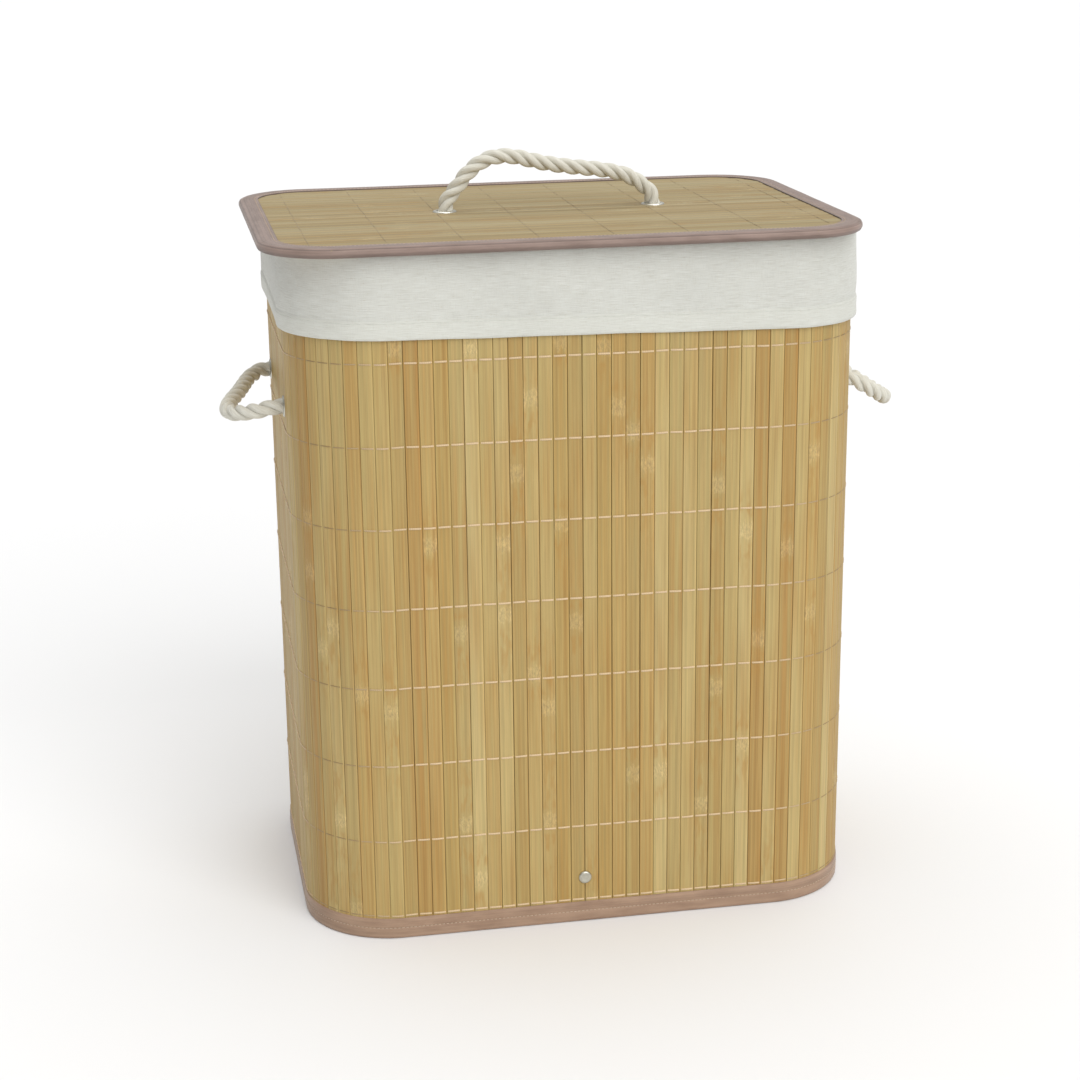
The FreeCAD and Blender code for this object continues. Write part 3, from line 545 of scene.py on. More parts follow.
def add_lid_handle():
    """The lid's rope loop, with its knots under the lid."""
    ends_z = LID_FACE - 4.0 * MM
    left, right = lid_hole_places()
    points = [(left, LID_HANDLE.y, ends_z), (left, LID_HANDLE.y, LID_FACE + PIVOT_OUT)]
    points += [(LID_HANDLE.x + across, LID_HANDLE.y, LID_FACE + up) for across, up in LID_ROUTE]
    points += [(right, LID_HANDLE.y, LID_FACE + PIVOT_OUT), (right, LID_HANDLE.y, ends_z)]
    mouths = [Vector((hole, LID_HANDLE.y, ends_z)) for hole in (left, right)]
    blend = [(0, 0, LID_FACE + reach) for reach in BLEND_REACH]
    make_rope("lid", "lid", points, blend, mouths, Vector((0, 0, -1)), 2.0 * MM)


def make_rope_cotton():
    """Undyed cotton: fine yarns that run nearly straight along the rope, greyer where painted shade
    darkens the grooves.
    """
    shade = Shader("rope_cotton")
    grain, parts = shade.grain()
    yarns = shade.streaks(grain, (34.0, 160.0, 7.0), detail=4.0)
    twist = shade.math("ADD", shade.math("MULTIPLY", parts[0], 88.0),
                       shade.math("MULTIPLY", parts[1], 900.0))
    ridges = shade.math("SINE", twist)
    # Painted shade: each strand darkens towards its side that faces into the rope, in the grooves
    # between strands.
    painted_groove_shade = shade.ramp(parts[0], [(0.0, 0.72), (0.22, 0.93), (0.5, 1.0)])
    tint = shade.ramp(yarns, [(0.25, (200, 195, 178)), (0.5, (220, 217, 204)),
                              (0.8, (232, 230, 219))])
    shade.set("Base Color", shade.times(tint, painted_groove_shade))
    height = shade.math("ADD", shade.math("MULTIPLY", ridges, 0.5), yarns)
    shade.set("Normal", shade.bump(height, 0.25 * MM, 0.6))
    shade.surface(Roughness=0.9, Sheen_Weight=0.25, Sheen_Roughness=0.5)
    return shade.material


# ---------------------------------------------------------------- bamboo

def near_corner(distance, index, width):
    """1 at a corner's middle, falling to 0 about twice the width away."""
    gap = (distance - wall.corner_middle(index) + wall.length / 2) % wall.length
    return math.exp(-((gap - wall.length / 2) / width) ** 2)


def slat_section(width, thick, crown=0.12 * MM, edge=0.45 * MM):
    """Across and out: a slat's section with rounded front edges and a slightly raised middle."""
    half = width / 2
    left = [(-half, -thick), (-half, -edge), (-half + 0.3 * edge, -0.3 * edge),
            (-half + edge, 0.0), (-half / 2, 0.8 * crown)]
    return left + [(0.0, crown)] + [(-across, out) for across, out in reversed(left)]


def add_slat(build, width, thick, low, high, place, joints=1.0):
    """One bamboo slat. place turns (across, out, along) into a point. A few slats have a joint,
    where the cane's ring was planed off and a low ridge is left."""
    section = slat_section(width, thick)
    rows_at = {low + (high - low) * step / 6: 0.0 for step in range(7)}
    rings = [place_at for place_at in (rng.uniform(low, high), rng.uniform(low, high))
             if rng.random() < 0.62 * joints]
    for ring in rings:
        for step, ridge in ((-11, 0.0), (-4, 0.0), (-1.4, 0.5), (0, 1.0), (1.4, 0.3), (4, 0.0),
                            (11, 0.0)):
            if low < ring + step * MM < high:
                rows_at[ring + step * MM] = ridge
    seed, bow = rng.random(), rng.uniform(-0.12, 0.12) * MM
    rows, grain = [], []
    for along, ridge in sorted(rows_at.items()):
        share = (along - low) / (high - low)
        aside = bow * math.sin(math.pi * share)
        lift = 0.12 * MM * ridge
        rows.append([place(across + aside, out + (lift if out >= 0 else 0.0), along)
                     for across, out in section])
        from_ring = min([abs(along - ring) for ring in rings] + [20 * MM])
        grain.append([(across, along + 3 * seed, from_ring) for across, out in section])
    build.grid(rows, grain, tone=seed, caps=True)


def cut_round_holes(piece, holes):
    """Cut cylinders, each (middle, axis, radius, length), out of a piece."""
    for middle, axis, radius, length in holes:
        tool_mesh = bpy.data.meshes.new("drill")
        shape = bmesh.new()
        turn = Vector(axis).to_track_quat("Z", "Y").to_matrix().to_4x4()
        bmesh.ops.create_cone(shape, cap_ends=True, segments=32, radius1=radius, radius2=radius,
                              depth=length, matrix=Matrix.Translation(middle) @ turn)
        shape.to_mesh(tool_mesh)
        shape.free()
        tool = bpy.data.objects.new("drill", tool_mesh)
        bpy.context.scene.collection.objects.link(tool)
        drill = piece.modifiers.new("drill", "BOOLEAN")
        drill.operation = "DIFFERENCE"
        drill.solver = "EXACT"
        drill.object = tool
        bpy.context.view_layer.update()
        cut = bpy.data.meshes.new_from_object(
            piece.evaluated_get(bpy.context.evaluated_depsgraph_get()))
        piece.modifiers.clear()
        piece.data = cut
        bpy.data.objects.remove(tool)
        bpy.data.meshes.remove(tool_mesh)


def wall_slat_places():
    """(CAD node, middle of the slat on the wall's outline, width) for every wall slat."""
    nodes = [("front_slats", FRONT_COUNT), ("front_right_corner_slats", CORNER_COUNT),
             ("right_slats", SIDE_COUNT), ("back_right_corner_slats", CORNER_COUNT),
             ("back_slats", FRONT_COUNT), ("back_left_corner_slats", CORNER_COUNT),
             ("left_slats", SIDE_COUNT), ("front_left_corner_slats", CORNER_COUNT)]
    start, places = 0.0, []
    for index, (node, count) in enumerate(nodes):
        length = wall.arc if index % 2 else wall.flats[index // 2 % 2]
        pitch = length / count
        places += [(node, start + pitch * (slat + 0.5), pitch) for slat in range(count)]
        start += length
    return places


def add_wall_slats():
    builds = {}
    for node, middle, pitch in wall_slat_places():
        build = builds.setdefault(node, Build())
        point, normal = wall.frame(middle)
        along_wall = Vector((-normal.y, normal.x, 0.0))
        inset = rng.uniform(0.0, 0.15) * MM

        def place(across, out, height):
            return point + along_wall * across + normal * (out - inset) + Vector((0, 0, height))

        add_slat(build, pitch - rng.uniform(0.04, 0.34) * MM, SLAT_THICK - 0.15 * MM, SLAT_LOW,
                 SLAT_HIGH, place)
    for node, build in builds.items():
        piece = build.piece(node.replace("slats", "bamboo"), WALL_BAMBOO, "hamper",
                            "wall_bamboo", [node], angle=50)
        side = {"left_slats": -1, "right_slats": 1}.get(node)
        if side:
            cut_round_holes(piece, side_holes(side))


def side_holes(side):
    """The two rope holes in one side wall."""
    return [((side * WALL_HALF_W, hole, HANDLE_Z), (1, 0, 0), ROPE_HOLE, 20 * MM)
            for hole in (-HANDLE_HALF, HANDLE_HALF)]


def even_places(first, last, count):
    return [first + (last - first) * index / (count - 1) for index in range(count)]


def thread_line(build, stops, radius, place, tone=0.5, sides=6):
    """A thread that goes up over each slat and down into each gap. stops are the gaps."""
    path = []
    for before, after in zip(stops, stops[1:]):
        length = after - before
        for share, lift in ((0.0, -2.4), (0.06, -1.2), (0.12, 0.2), (0.5, 0.35), (0.88, 0.2),
                            (0.94, -1.2)):
            path.append((before + share * length, lift * radius))
    path.append((stops[-1], -2.4 * radius))
    rows, grain = [], []
    for along, lift in path:
        wander = 0.4 * MM * noise.noise((along * 60, stops[0], radius))
        rows.append([place(along, lift + 0.7 * radius * math.sin(2 * math.pi * index / sides),
                           wander + radius * math.cos(2 * math.pi * index / sides))
                     for index in range(sides)])
        grain.append([(along, index / sides, 0.0) for index in range(sides)])
    build.grid(rows, grain, tone=tone, caps=True)


def add_wall_threads():
    """Rows of stitching round the wall. On the flats the thread lies loose and pale on each slat;
    round the corners it is pulled thin into the wood, and darkened there with painted shade."""
    low, high = (corner.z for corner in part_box("wall_stitching"))
    places = wall_slat_places()
    build = Build()
    for height in even_places(low + THREAD_INSET, high - THREAD_INSET, THREAD_ROWS):

        def place(along, out, up):
            return wall.at(along, out + 0.05 * MM, height + up)

        for _, middle, pitch in places:
            corner = max(near_corner(middle, index, 46 * MM) for index in range(4))
            loose = 1.0 - corner ** 1.5
            stops = [middle - pitch / 2, middle + pitch / 2]
            # The tone paints shade on the thread round the corners, dark where it sinks into the
            # wood.
            thread_line(build, stops, (0.3 + 0.42 * loose) * MM, place, tone=loose)
    build.piece("wall_threads", THREAD, "hamper", "thread", ["wall_stitching"])


def lid_reach(across):
    """Half of the lid's length at a distance from its middle line."""
    past = abs(across) - (LID_HALF_D - LID_CORNER)
    if past <= 0:
        return LID_HALF_W
    return LID_HALF_W - LID_CORNER + math.sqrt(max(0.0, LID_CORNER ** 2 - past ** 2))


def add_lid_slats():
    build = Build()
    inner_half = LID_HALF_D - TAPE
    pitch = 2 * inner_half / LID_SLATS
    for slat in range(LID_SLATS):
        middle = -inner_half + pitch * (slat + 0.5)
        reach = lid_reach(abs(middle) + pitch / 2) - 3 * MM
        inset = rng.uniform(0.0, 0.25) * MM

        def place(across, out, along):
            return Vector((LID_CENTRE.x + along, LID_CENTRE.y + middle + across,
                           LID_FACE + out - inset))

        add_slat(build, pitch - rng.uniform(0.2, 0.6) * MM, SLAT_THICK - 0.3 * MM, -reach, reach,
                 place, joints=0.4)
    piece = build.piece("lid_bamboo", LID_BAMBOO, "lid", "lid_bamboo", ["lid_slats"], angle=50)
    cut_round_holes(piece, [((hole, LID_HANDLE.y, LID_FACE), (0, 0, 1), ROPE_HOLE, 12 * MM)
                            for hole in lid_hole_places()])


def lid_hole_places():
    return (LID_HANDLE.x - LID_HANDLE_HALF, LID_HANDLE.x + LID_HANDLE_HALF)


def add_lid_threads():
    """Rows of stitching from the front to the back of the lid, each over every slat."""
    low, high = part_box("lid_stitching")
    inner_half = LID_HALF_D - TAPE
    pitch = 2 * inner_half / LID_SLATS
    build = Build()
    clear = 9 * MM
    for x in even_places(low.x + THREAD_INSET, high.x - THREAD_INSET, LID_ROWS):
        reach = inner_reach(x - LID_CENTRE.x)
        stops = [-inner_half + pitch * slat for slat in range(LID_SLATS + 1)]
        near_hole = min(abs(x - hole) for hole in lid_hole_places()) < clear
        middle = LID_HANDLE.y - LID_CENTRE.y
        spans = [(-reach, reach)]
        if near_hole:
            spans = [(-reach, middle - clear), (middle + clear, reach)]

        def place(along, out, up):
            return Vector((x + up, LID_CENTRE.y + along, LID_FACE + out - 0.05 * MM))

        for start, end in spans:
            inside = [stop for stop in stops if start <= stop <= end]
            thread_line(build, inside, 0.24 * MM, place)
    build.piece("lid_threads", LID_THREAD, "lid", "thread", ["lid_stitching"])


def inner_reach(along):
    """Half of the lid's depth inside its binding, at a distance from its middle."""
    inner_corner = LID_CORNER - LID_TAPE_WIDTH
    past = abs(along) - (LID_HALF_W - LID_CORNER)
    reach = LID_HALF_D - LID_TAPE_WIDTH
    if past <= 0:
        return reach
    return reach - inner_corner + math.sqrt(max(0.0, inner_corner ** 2 - past ** 2))


def make_bamboo(name, palette, stain, green_tint, fleck):
    """Planed bamboo: a tone for each slat, fine fibres along it and mottled marks at its joints.
    The grain attribute holds the place across the slat, along it, and from its nearest joint."""
    shade = Shader(name)
    grain, parts = shade.grain()
    base = shade.ramp(shade.tone(), palette, "CONSTANT")
    drift = shade.streaks(grain, (60.0, 6.0, 0.0), detail=2.0)
    base = shade.mix(shade.ramp(drift, [(0.42, 0.0), (0.72, 0.6)]), base, linear(stain))
    green = shade.streaks(grain, (330.0, 3.0, 0.0), detail=2.0)
    base = shade.mix(shade.ramp(green, [(0.4, 0.0), (0.7, 0.5)]), base, linear(green_tint))
    bands = shade.streaks(grain, (620.0, 5.0, 0.0), detail=2.0)
    base = shade.times(base, shade.ramp(bands, [(0.3, 0.85), (0.5, 1.0), (0.7, 1.1)]))
    fibres = shade.streaks(grain, (1700.0, 20.0, 0.0), detail=5.0,
                         roughness=0.7)
    streak = shade.ramp(fibres, [(0.25, 0.72), (0.42, 0.96), (0.6, 1.03), (0.78, 1.26)])
    base = shade.times(base, streak)
    ragged = shade.streaks(grain, (420.0, 160.0, 0.0), detail=3.0)
    reach = shade.math("ADD", shade.math("MULTIPLY", parts[2], 70.0), ragged)
    patch = shade.ramp(shade.math("SUBTRACT", reach, 0.5),
                       [(0.0, 1.0), (0.3, 0.9), (0.5, 0.0)])
    mottle = shade.streaks(grain, (1000.0, 260.0, 0.0), detail=5.0,
                         roughness=0.8)
    smear = shade.streaks(grain, (300.0, 60.0, 0.0), detail=2.0)
    patch = shade.math("MULTIPLY", patch, shade.ramp(smear, [(0.3, 0.55), (0.6, 1.0)]))
    flecks = shade.ramp(mottle, [(0.38, 0.66), (0.48, 0.98), (0.58, 1.3)])
    flecks = shade.mix(0.12, shade.times(base, flecks), linear(fleck))
    base = shade.mix(patch, base, flecks)
    near = shade.ramp(shade.math("MULTIPLY", parts[2], 50.0),
                      [(0.42, 0.0), (0.6, 0.5), (0.98, 0.0)])
    base = shade.mix(shade.math("MULTIPLY", near, shade.ramp(smear, [(0.45, 0.0), (0.6, 1.0)])),
                     base, linear(stain))
    # Painted highlight and shade: a light line along each slat's rounded edge, darker at the very
    # edge beside the gap.
    rim = shade.ramp(shade.math("MULTIPLY", shade.math("ABSOLUTE", parts[0]), 200.0),
                     [(0.74, 1.0), (0.84, 1.12), (0.92, 1.02), (0.98, 0.86)])
    base = shade.times(base, rim)
    shade.set("Base Color", base)
    shade.set("Roughness", shade.ramp(fibres, [(0.3, 0.58), (0.7, 0.46)]))
    shade.set("Normal", shade.bump(fibres, 0.1 * MM, 0.45))
    shade.surface(Specular_IOR_Level=0.35)
    return shade.material


def make_thread(name, pale, dark):
    """Twisted thread: dark where its tone is 0 and pale where its tone is 1."""
    shade = Shader(name)
    _, parts = shade.grain()
    twist = shade.math("SINE", shade.math("ADD", shade.math("MULTIPLY", parts[0], 5000.0),
                                          shade.math("MULTIPLY", parts[1], 6.283)))
    base = shade.ramp(shade.tone(), [(0.0, dark), (1.0, pale)])
    base = shade.times(base, shade.ramp(twist, [(0.0, 0.88), (1.0, 1.02)]))
    shade.set("Base Color", base)
    shade.set("Normal", shade.bump(twist, 0.08 * MM, 0.5))
    shade.surface(Roughness=0.75, Sheen_Weight=0.2)
    return shade.material


# ---------------------------------------------------------------- tapes

def add_stitches(build, outline, out, height, step, size, upright):
    """Short stitches along an outline. upright stitches lie on a wall, others on a flat face."""
    count = round(outline.length / step)
    step = outline.length / count
    sides, half = 5, 0.36 * step
    for index in range(count):
        middle = step * (index + 0.5)
        rows, grain = [], []
        for share, thick, lift in ((-1, 0.3, -0.5), (-0.6, 0.9, 0.35), (0, 1.0, 0.5),
                                   (0.6, 0.9, 0.35), (1, 0.3, -0.5)):
            ring = []
            for side in range(sides):
                angle = 2 * math.pi * side / sides
                away = (lift + thick * math.sin(angle)) * size
                along = thick * math.cos(angle) * size
                place = (out + away, height + along) if upright else (out + along, height + away)
                ring.append(outline.at(middle + share * half, *place))
            rows.append(ring)
            grain.append([(middle + share * half, side / sides, 0.0) for side in range(sides)])
        build.grid(rows, grain, tone=0.5, caps=True)


TAPE_STITCH = 2.9 * MM


def wall_tape_section(sign, edge):
    """A tape folded round the wall's edge. sign is 1 at the foot and -1 at the rim."""
    points = [(0.05, 15.0), (-0.1, 15.2), (-0.45, 15.1), (-0.8, 14.6), (-0.92, 13.6), (-0.9, 10.4),
              (-0.86, 8.5), (-0.7, 8.1), (-0.7, 7.9), (-0.86, 7.5), (-0.95, 6.0), (-0.93, 2.4),
              (-0.8, 0.9), (-0.45, 0.2), (0.3, 0.0), (2.4, 0.0), (3.1, 0.3), (3.45, 1.0),
              (3.5, 2.4), (3.45, 7.4), (3.3, 8.0), (3.45, 8.6), (3.5, 14.0), (3.2, 14.9),
              (2.7, 15.0), (2.62, 14.0), (2.62, 0.9), (0.02, 0.9)]
    placed = [(-inset * MM, edge + sign * height * MM) for inset, height in points]
    return placed if sign > 0 else placed[::-1]


def add_wall_tapes():
    stations = wall.stations()
    for name, node, sign, edge in (("base_tape", "base_binding", 1, 0.0),
                                   ("rim_tape", "rim_binding", -1, RIM_TOP)):
        build = Build()

        def shift(distance, out, height):
            return out + 0.12 * MM * noise.noise((distance * 25, height * 90, sign)), height

        sweep(build, wall, stations, wall_tape_section(sign, edge), shift, 1.0)
        build.piece(name, TAPE_CLOTH, "hamper", "binding_tape", [node], angle=40)
        seam = Build()
        add_stitches(seam, wall, 0.78 * MM, edge + sign * 8.0 * MM, TAPE_STITCH, 0.27 * MM, True)
        seam.piece(f"{name}_stitches", TAPE_THREAD, "hamper", "thread")


def add_lid_tape():
    """The lid's edge: a tape folded round it, full at the front and stitched near its inner
    edge."""
    low, high = lid_low.z, lid_high.z
    middle, half = (low + high) / 2, (high - low) / 2
    rim = [(-half + half * math.cos(angle), middle + half * math.sin(angle))
           for angle in (math.radians(90 - 15 * step) for step in range(13))]
    upper = [(-14.5, -0.8), (-14.4, -0.2), (-13.8, 0.0), (-12.4, -0.02), (-12.1, -0.2),
             (-11.8, -0.2), (-11.5, 0.0), (-8.0, 0.12), (-5.0, 0.1)]
    top = [(out * MM, high + rise * MM) for out, rise in upper]
    bottom = [(out * MM, low - rise * MM) for out, rise in reversed(upper)]
    inside = [(-LID_TAPE_WIDTH, low + TAPE), (-TAPE, low + TAPE), (-TAPE, high - TAPE),
              (-LID_TAPE_WIDTH, high - TAPE)]
    section = top + rim + bottom + inside

    def shift(distance, out, height):
        return out, height + 0.12 * MM * noise.noise((distance * 30, out * 80, 3.0))

    # Painted shade: a dark shadow line at the tape's inner edge against the slats, half shade on
    # its lower edge and underside, and full shade on the faces inside.
    painted_shade_tone = [0.0] * 2 + [1.0] * (len(top) + 7 - 2) + [0.55] * (len(rim) - 7 + len(bottom))
    painted_shade_tone += [0.0] * len(inside)
    build = Build()
    sweep(build, lid, lid.stations(), section[::-1], shift, painted_shade_tone[::-1])
    build.piece("lid_tape", LID_TAPE_CLOTH, "lid", "binding_tape", ["lid_binding"], angle=50)
    seam = Build()
    add_stitches(seam, lid, -11.95 * MM, high - 0.15 * MM, TAPE_STITCH, 0.24 * MM, False)
    seam.piece("lid_tape_stitches", TAPE_THREAD, "lid", "thread")


def make_tape(name, colour, edge, crease):
    """Smooth folded tape with a very fine weave, creases along it and a soft sheen. Painted shade
    darkens it where its tone is low, to half at 0, and crease is how dark the painted shade in a
    crease is."""
    shade = Shader(name)
    grain, parts = shade.grain()
    warp = shade.wave(parts[0], 9000.0)
    weft = shade.wave(parts[1], 9000.0)
    weave = shade.math("MULTIPLY", warp, weft)
    soil = shade.streaks(grain, (40.0, 160.0, 0.0), detail=4.0)
    base = shade.ramp(soil, [(0.3, edge), (0.55, colour),
                             (0.8, tuple(min(255, 1.06 * part) for part in colour))])
    creases = shade.streaks(grain, (1.5, 620.0, 0.0), detail=3.0)
    # Painted shade in the creases, and a painted highlight on the ridges between them.
    base = shade.times(base, shade.ramp(creases, [(0.34, crease), (0.46, 0.97), (0.68, 1.1)]))
    # Painted shade where the tone is low, down to half.
    base = shade.times(base, shade.ramp(shade.tone(), [(0.0, 0.5), (1.0, 1.0)]))
    fine = shade.ramp(shade.math("ADD", shade.math("MULTIPLY", weave, 0.5), 0.5),
                      [(0.0, 0.93), (1.0, 1.05)])
    shade.set("Base Color", shade.times(base, fine))
    height = shade.math("ADD", shade.math("MULTIPLY", weave, 0.2),
                        shade.math("ADD", soil, shade.math("MULTIPLY", creases, 1.5)))
    shade.set("Normal", shade.bump(height, 0.3 * MM, 0.5))
    shade.surface(Roughness=0.62, Sheen_Weight=0.25, Sheen_Roughness=0.4)
    return shade.material


# ---------------------------------------------------------------- liner

CUFF_OUT, CLOTH = 2.5 * MM, 1.0 * MM
HEM = 14.0 * MM
CUFF_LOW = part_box("liner_cuff")[0].z
BAG_HALF_W, BAG_HALF_D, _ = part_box("liner_bottom")[1]
# The bag widens below the rim, and ends inside the wall.
SHOULDER_DROP, SHOULDER_HEIGHT = 91.8 * MM, 46 * MM
BAG_MOUTH, BAG_CORNER_LESS = 4.1 * MM, 14 * MM


def cuff_swell(distance, height):
    """How far the cuff stands off the wall: soft bulges round the corners, nearly flat between."""
    drop = LINER_TOP - height
    low_part = min(1.0, max(0.0, (drop - 8 * MM) / (26 * MM)))
    loose = sum(near_corner(distance, index, 48 * MM) * share
                for index, share in enumerate((1.0, 0.8, 0.9, 1.0)))
    slanted = Vector((distance * 26 + height * 22, height * 40, 4.0))
    wide = noise.noise(slanted)
    fine = noise.noise(Vector((distance * 75 - height * 60, height * 95, 9.0)))
    flat = 0.35 * noise.noise(Vector((distance * 12, height * 30, 2.0)))
    swell = loose * (1.3 + 1.7 * wide + 0.8 * fine) + flat
    return max(-0.3 * MM, low_part * swell * MM)


def cuff_section():
    """Out and height of the cuff's cloth: over the rim, down outside it, and a double hem."""
    top = LINER_TOP
    bend = [(-0.4, -0.3), (0.9, -0.12), (1.9, -0.6), (2.4, -1.5)]
    outer = [(-5.1 * MM, top - 12 * MM), (-5.1 * MM, top - 3 * MM), (-4.6 * MM, top - 0.9 * MM),
             (-3.4 * MM, top - 0.1 * MM)]
    outer += [(out * MM, top + rise * MM) for out, rise in bend]
    hem_top, bottom = CUFF_LOW + HEM, CUFF_LOW
    steps = 14
    run = [(CUFF_OUT, top - 3 * MM + (hem_top + 1 * MM - top + 3 * MM) * step / steps)
           for step in range(steps + 1)]
    hem = [(CUFF_OUT - 0.25 * MM, hem_top + 0.2 * MM), (CUFF_OUT + 0.35 * MM, hem_top - 0.7 * MM),
           (CUFF_OUT + 0.5 * MM, hem_top - 3 * MM), (CUFF_OUT + 0.5 * MM, bottom + 7 * MM),
           (CUFF_OUT + 0.45 * MM, bottom + 2.4 * MM), (CUFF_OUT + 0.2 * MM, bottom + 0.5 * MM),
           (CUFF_OUT - 0.5 * MM, bottom), (CUFF_OUT - 1.2 * MM, bottom + 0.5 * MM)]
    inner = [(CUFF_OUT - 1.3 * MM, bottom + 7 * MM), (CUFF_OUT - 1.3 * MM, hem_top - 0.5 * MM)]
    inner += [(CUFF_OUT - CLOTH, height) for _, height in reversed(run)]
    inner += [(1.2 * MM, top - 1.6 * MM), (0.2 * MM, top - 1.1 * MM), (-3.4 * MM, top - 1.1 * MM),
              (-4.0 * MM, top - 1.8 * MM), (-4.1 * MM, top - 3.4 * MM), (-4.1 * MM, top - 12 * MM)]
    return (outer + run + hem + inner)[::-1]


def hem_drop(distance):
    """How much lower the cuff's hem hangs than the CAD hem: it slopes down to the right, with a
    ripple."""
    x = wall.frame(distance)[0].x
    ripple = 0.5 * MM * noise.noise(Vector((distance * 22, 0.0, 5.0)))
    return 0.4 * MM + 3.4 * MM * x / WALL_HALF_W + ripple


def add_cuff():
    build = Build()

    def shift(distance, out, height):
        share = (LINER_TOP - height) / (LINER_TOP - CUFF_LOW)
        lowered = height - share * hem_drop(distance) if out > 0 else height
        swell = cuff_swell(distance, lowered) if out > 0 else 0.0
        return out + swell, lowered

    section = cuff_section()
    hem_tone = [1.0 if height < CUFF_LOW + HEM else 0.0 for _, height in section]
    sweep(build, wall, wall.stations(4 * MM, 40), section, shift, hem_tone)
    cuff = build.piece("liner_cuff_cloth", LINER_COTTON, "liner", "liner_cotton", ["liner_cuff"])
    seam = Build()
    add_hem_stitches(seam)
    stitches = seam.piece("liner_hem_stitches", LINER_THREAD, "liner", "liner_cotton")


def add_hem_stitches(build):
    """A row of machine stitches near the hem's upper edge."""
    step, sides = 3.2 * MM, 5
    count = round(wall.length / step)
    for index in range(count):
        middle = wall.from_back(wall.length * (index + 0.5) / count)
        height = CUFF_LOW + HEM - 2.2 * MM
        height -= (LINER_TOP - height) / (LINER_TOP - CUFF_LOW) * hem_drop(middle)
        out = CUFF_OUT + 0.47 * MM + cuff_swell(middle, height)
        rows, grain = [], []
        for share, thick in ((-1, 0.4), (-0.5, 1.0), (0.5, 1.0), (1, 0.4)):
            rows.append([wall.at(middle + share * 0.36 * step,
                                 out + 0.2 * MM * thick * math.sin(2 * math.pi * side / sides),
                                 height + 0.2 * MM * thick * math.cos(2 * math.pi * side / sides))
                         for side in range(sides)])
            grain.append([(middle, side / sides, 0.0) for side in range(sides)])
        build.grid(rows, grain, caps=True)


def bag_shape(height):
    """The hanging bag's outline at a height: narrow below, and out to the rim at the top."""
    share = min(1.0, max(0.0, (height - RIM_TOP + SHOULDER_DROP) / SHOULDER_HEIGHT))
    share = share * share * (3 - 2 * share)
    narrow = (BAG_HALF_W, BAG_HALF_D, WALL_CORNER - BAG_CORNER_LESS)
    wide = (WALL_HALF_W - BAG_MOUTH, WALL_HALF_D - BAG_MOUTH, WALL_CORNER - BAG_MOUTH)
    return Outline(*(low + (high - low) * share for low, high in zip(narrow, wide)))


def bag_fold(share_round, height):
    """Soft upright folds of the hanging bag, deeper half way down and gone at the floor."""
    depth = min(1.0, (height - LINER_LOW) / (50 * MM)) * min(1.0, (RIM_TOP - height) / (34 * MM))
    angle = 2 * math.pi * share_round
    place = Vector((math.cos(angle) * 5.0, math.sin(angle) * 5.0, height * 2.4))
    crease = 1.0 - abs(noise.noise(place + Vector((0, 0, 3)))) * 2.2
    slanted = Vector((math.cos(angle) * 9, math.sin(angle) * 9, height * 16 + angle))
    fine = noise.noise(slanted)
    broad = noise.noise(Vector((math.cos(angle) * 1.8, math.sin(angle) * 1.8, height * 4.0)))
    return -max(0.0, depth) * max(0.0, 3.0 + 3.4 * max(0.0, crease) ** 3 - 2.6 * broad
                                  + 1.2 * fine) * MM


def add_bag():
    """The bag inside the wall: two faces, a cloth's thickness apart, and a floor."""
    rounds, levels = 340, 56
    build = Build()
    low, high = LINER_LOW + 1.2 * MM, LINER_TOP - 1.4 * MM
    climb = [low + (high - low) * level / levels for level in range(levels + 1)]
    shapes = [bag_shape(height) for height in climb]
    faces = [(height, shape, 0.0) for height, shape in zip(climb, shapes)]
    faces += [(height, shape, CLOTH) for height, shape in zip(climb[::-1], shapes[::-1])]
    rows, grain = [], []
    for step in range(rounds):
        row, marks = [], []
        for height, shape, inset in faces:
            out = bag_fold(step / rounds, height) - inset
            row.append(shape.at(shape.length * step / rounds, out, height))
            marks.append((shape.length * step / rounds, height, 0.0))
        rows.append(row)
        grain.append(marks)
    build.grid(rows, grain, tone=0.0, loop=True)
    bag = build.piece("liner_bag", LINER_COTTON, "liner", "liner_cotton", ["liner_side"])

    rings, drawn = 14, 1.0 * MM
    levels = [(ring / rings, drawn, CLOTH) for ring in range(rings + 1)]
    levels += [(ring / rings, drawn, 0.0) for ring in range(rings, -1, -1)]

    def rise(x, y, size, up):
        ripple = 0.5 * MM * (1 + noise.noise(Vector((x * 22, y * 22, 1.0))))
        return LINER_LOW + up + ripple * (1 - size ** 6), 0.0

    floor = Build()
    floor.grid(*ring_rows(bag_shape(low), levels, rounds // 2, rise), tone=0.0)
    cloth = floor.piece("liner_floor_cloth", LINER_COTTON, "liner", "liner_cotton",
                        ["liner_bottom"])


